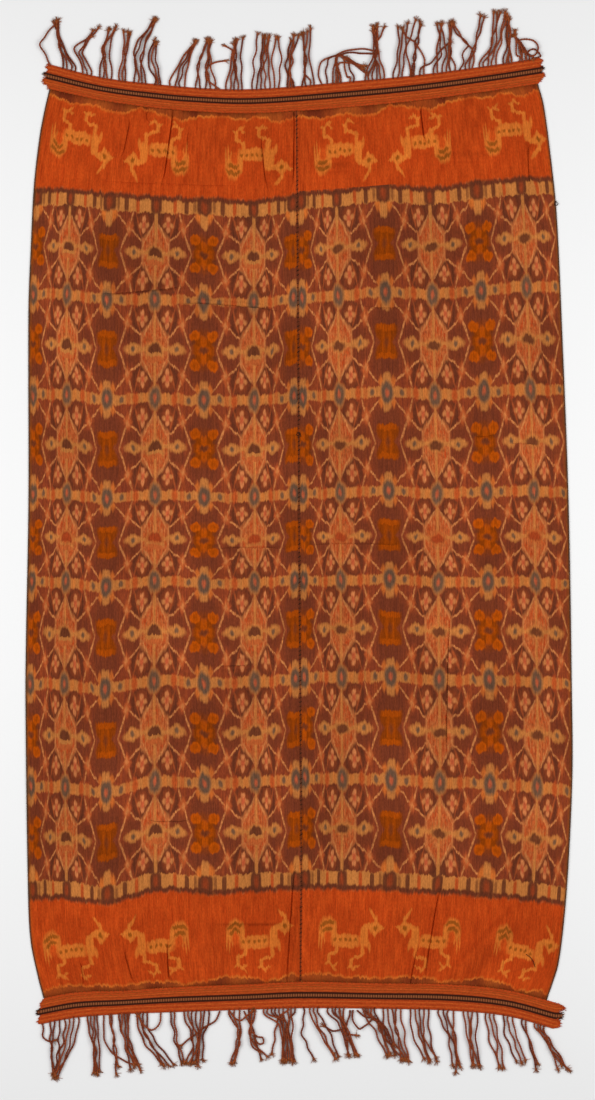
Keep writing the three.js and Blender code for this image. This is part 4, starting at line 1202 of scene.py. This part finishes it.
yarn = fringe_yarn()
for name, clumps, loops, outer, inwards, node, seed in (
    ("top_fringe", TOP_CLUMPS, TOP_LOOPS, TOP_OUTER, -1, "fringe_top", 11),
    ("bottom_fringe", BOTTOM_CLUMPS, BOTTOM_LOOPS, BOTTOM_OUTER, 1, "fringe_bottom", 12),
):
    fringe = show(name, fringe_mesh(name, clumps, loops, outer, inwards, seed), yarn)
    keep(fringe, node)


# Floor, light and camera
# A pale sweep of paper under the cloth, wide soft lamps above it, and a camera that looks straight down.

FLOOR_HALF = 9.0  # metres from its middle to its sides
FLOOR_Z = -0.4 * MM  # just clear of the cloth's underside
square = ((-1, -1), (1, -1), (1, 1), (-1, 1))
floor_corners = [(x * FLOOR_HALF, y * FLOOR_HALF, FLOOR_Z) for x, y in square]
floor_mesh = mesh_from("floor", floor_corners, [(0, 1, 2, 3)])
paper, _, paper_shader = new_material("matte_white_paper", roughness=0.9, specular=0.5)
paper_shader.inputs["Base Color"].default_value = linear("#EDEDED")
floor = show("floor", floor_mesh, paper)


def lamp(name, place, aim, size, watts):
    """A round soft lamp at a place, turned to its aim."""
    light = bpy.data.lights.new(name, "AREA")
    light.shape = "DISK"
    light.size = size
    light.energy = watts
    holder = bpy.data.objects.new(name, light)
    holder.location = place
    direction = [t - p for t, p in zip(aim, place)]
    heading = math.atan2(direction[1], direction[0])
    fall = math.atan2(math.hypot(direction[0], direction[1]), -direction[2])
    holder.rotation_euler = (fall, 0, heading - math.pi / 2)
    bpy.context.scene.collection.objects.link(holder)


lamp("soft_lamp_left", place=(-1.9, 0.1, 2.3), aim=(0, 0, 0), size=2.2, watts=46.5)
lamp("soft_lamp_right", place=(1.9, 0.1, 2.3), aim=(0, 0, 0), size=2.2, watts=46)
world = bpy.data.worlds.new("studio")
world.use_nodes = True
world.node_tree.nodes["Background"].inputs["Color"].default_value = (1, 1, 1, 1)
world.node_tree.nodes["Background"].inputs["Strength"].default_value = 0.38
bpy.context.scene.world = world
bpy.context.scene.view_settings.view_transform = "Standard"

PHOTO_SIZE = (595, 1100)
MM_PER_PIXEL = 2.0
ORIGIN_PIXEL = (300, 544)
camera_data = bpy.data.cameras.new("camera")
camera_data.lens = 85
camera_data.sensor_width = 36
camera = bpy.data.objects.new("camera", camera_data)
view_height = PHOTO_SIZE[1] * MM_PER_PIXEL * MM
centre_x = (PHOTO_SIZE[0] / 2 - ORIGIN_PIXEL[0]) * MM_PER_PIXEL * MM
centre_y = (ORIGIN_PIXEL[1] - PHOTO_SIZE[1] / 2) * MM_PER_PIXEL * MM
camera.location = (centre_x, centre_y, view_height * camera_data.lens / camera_data.sensor_width)
bpy.context.scene.collection.objects.link(camera)
bpy.context.scene.camera = camera
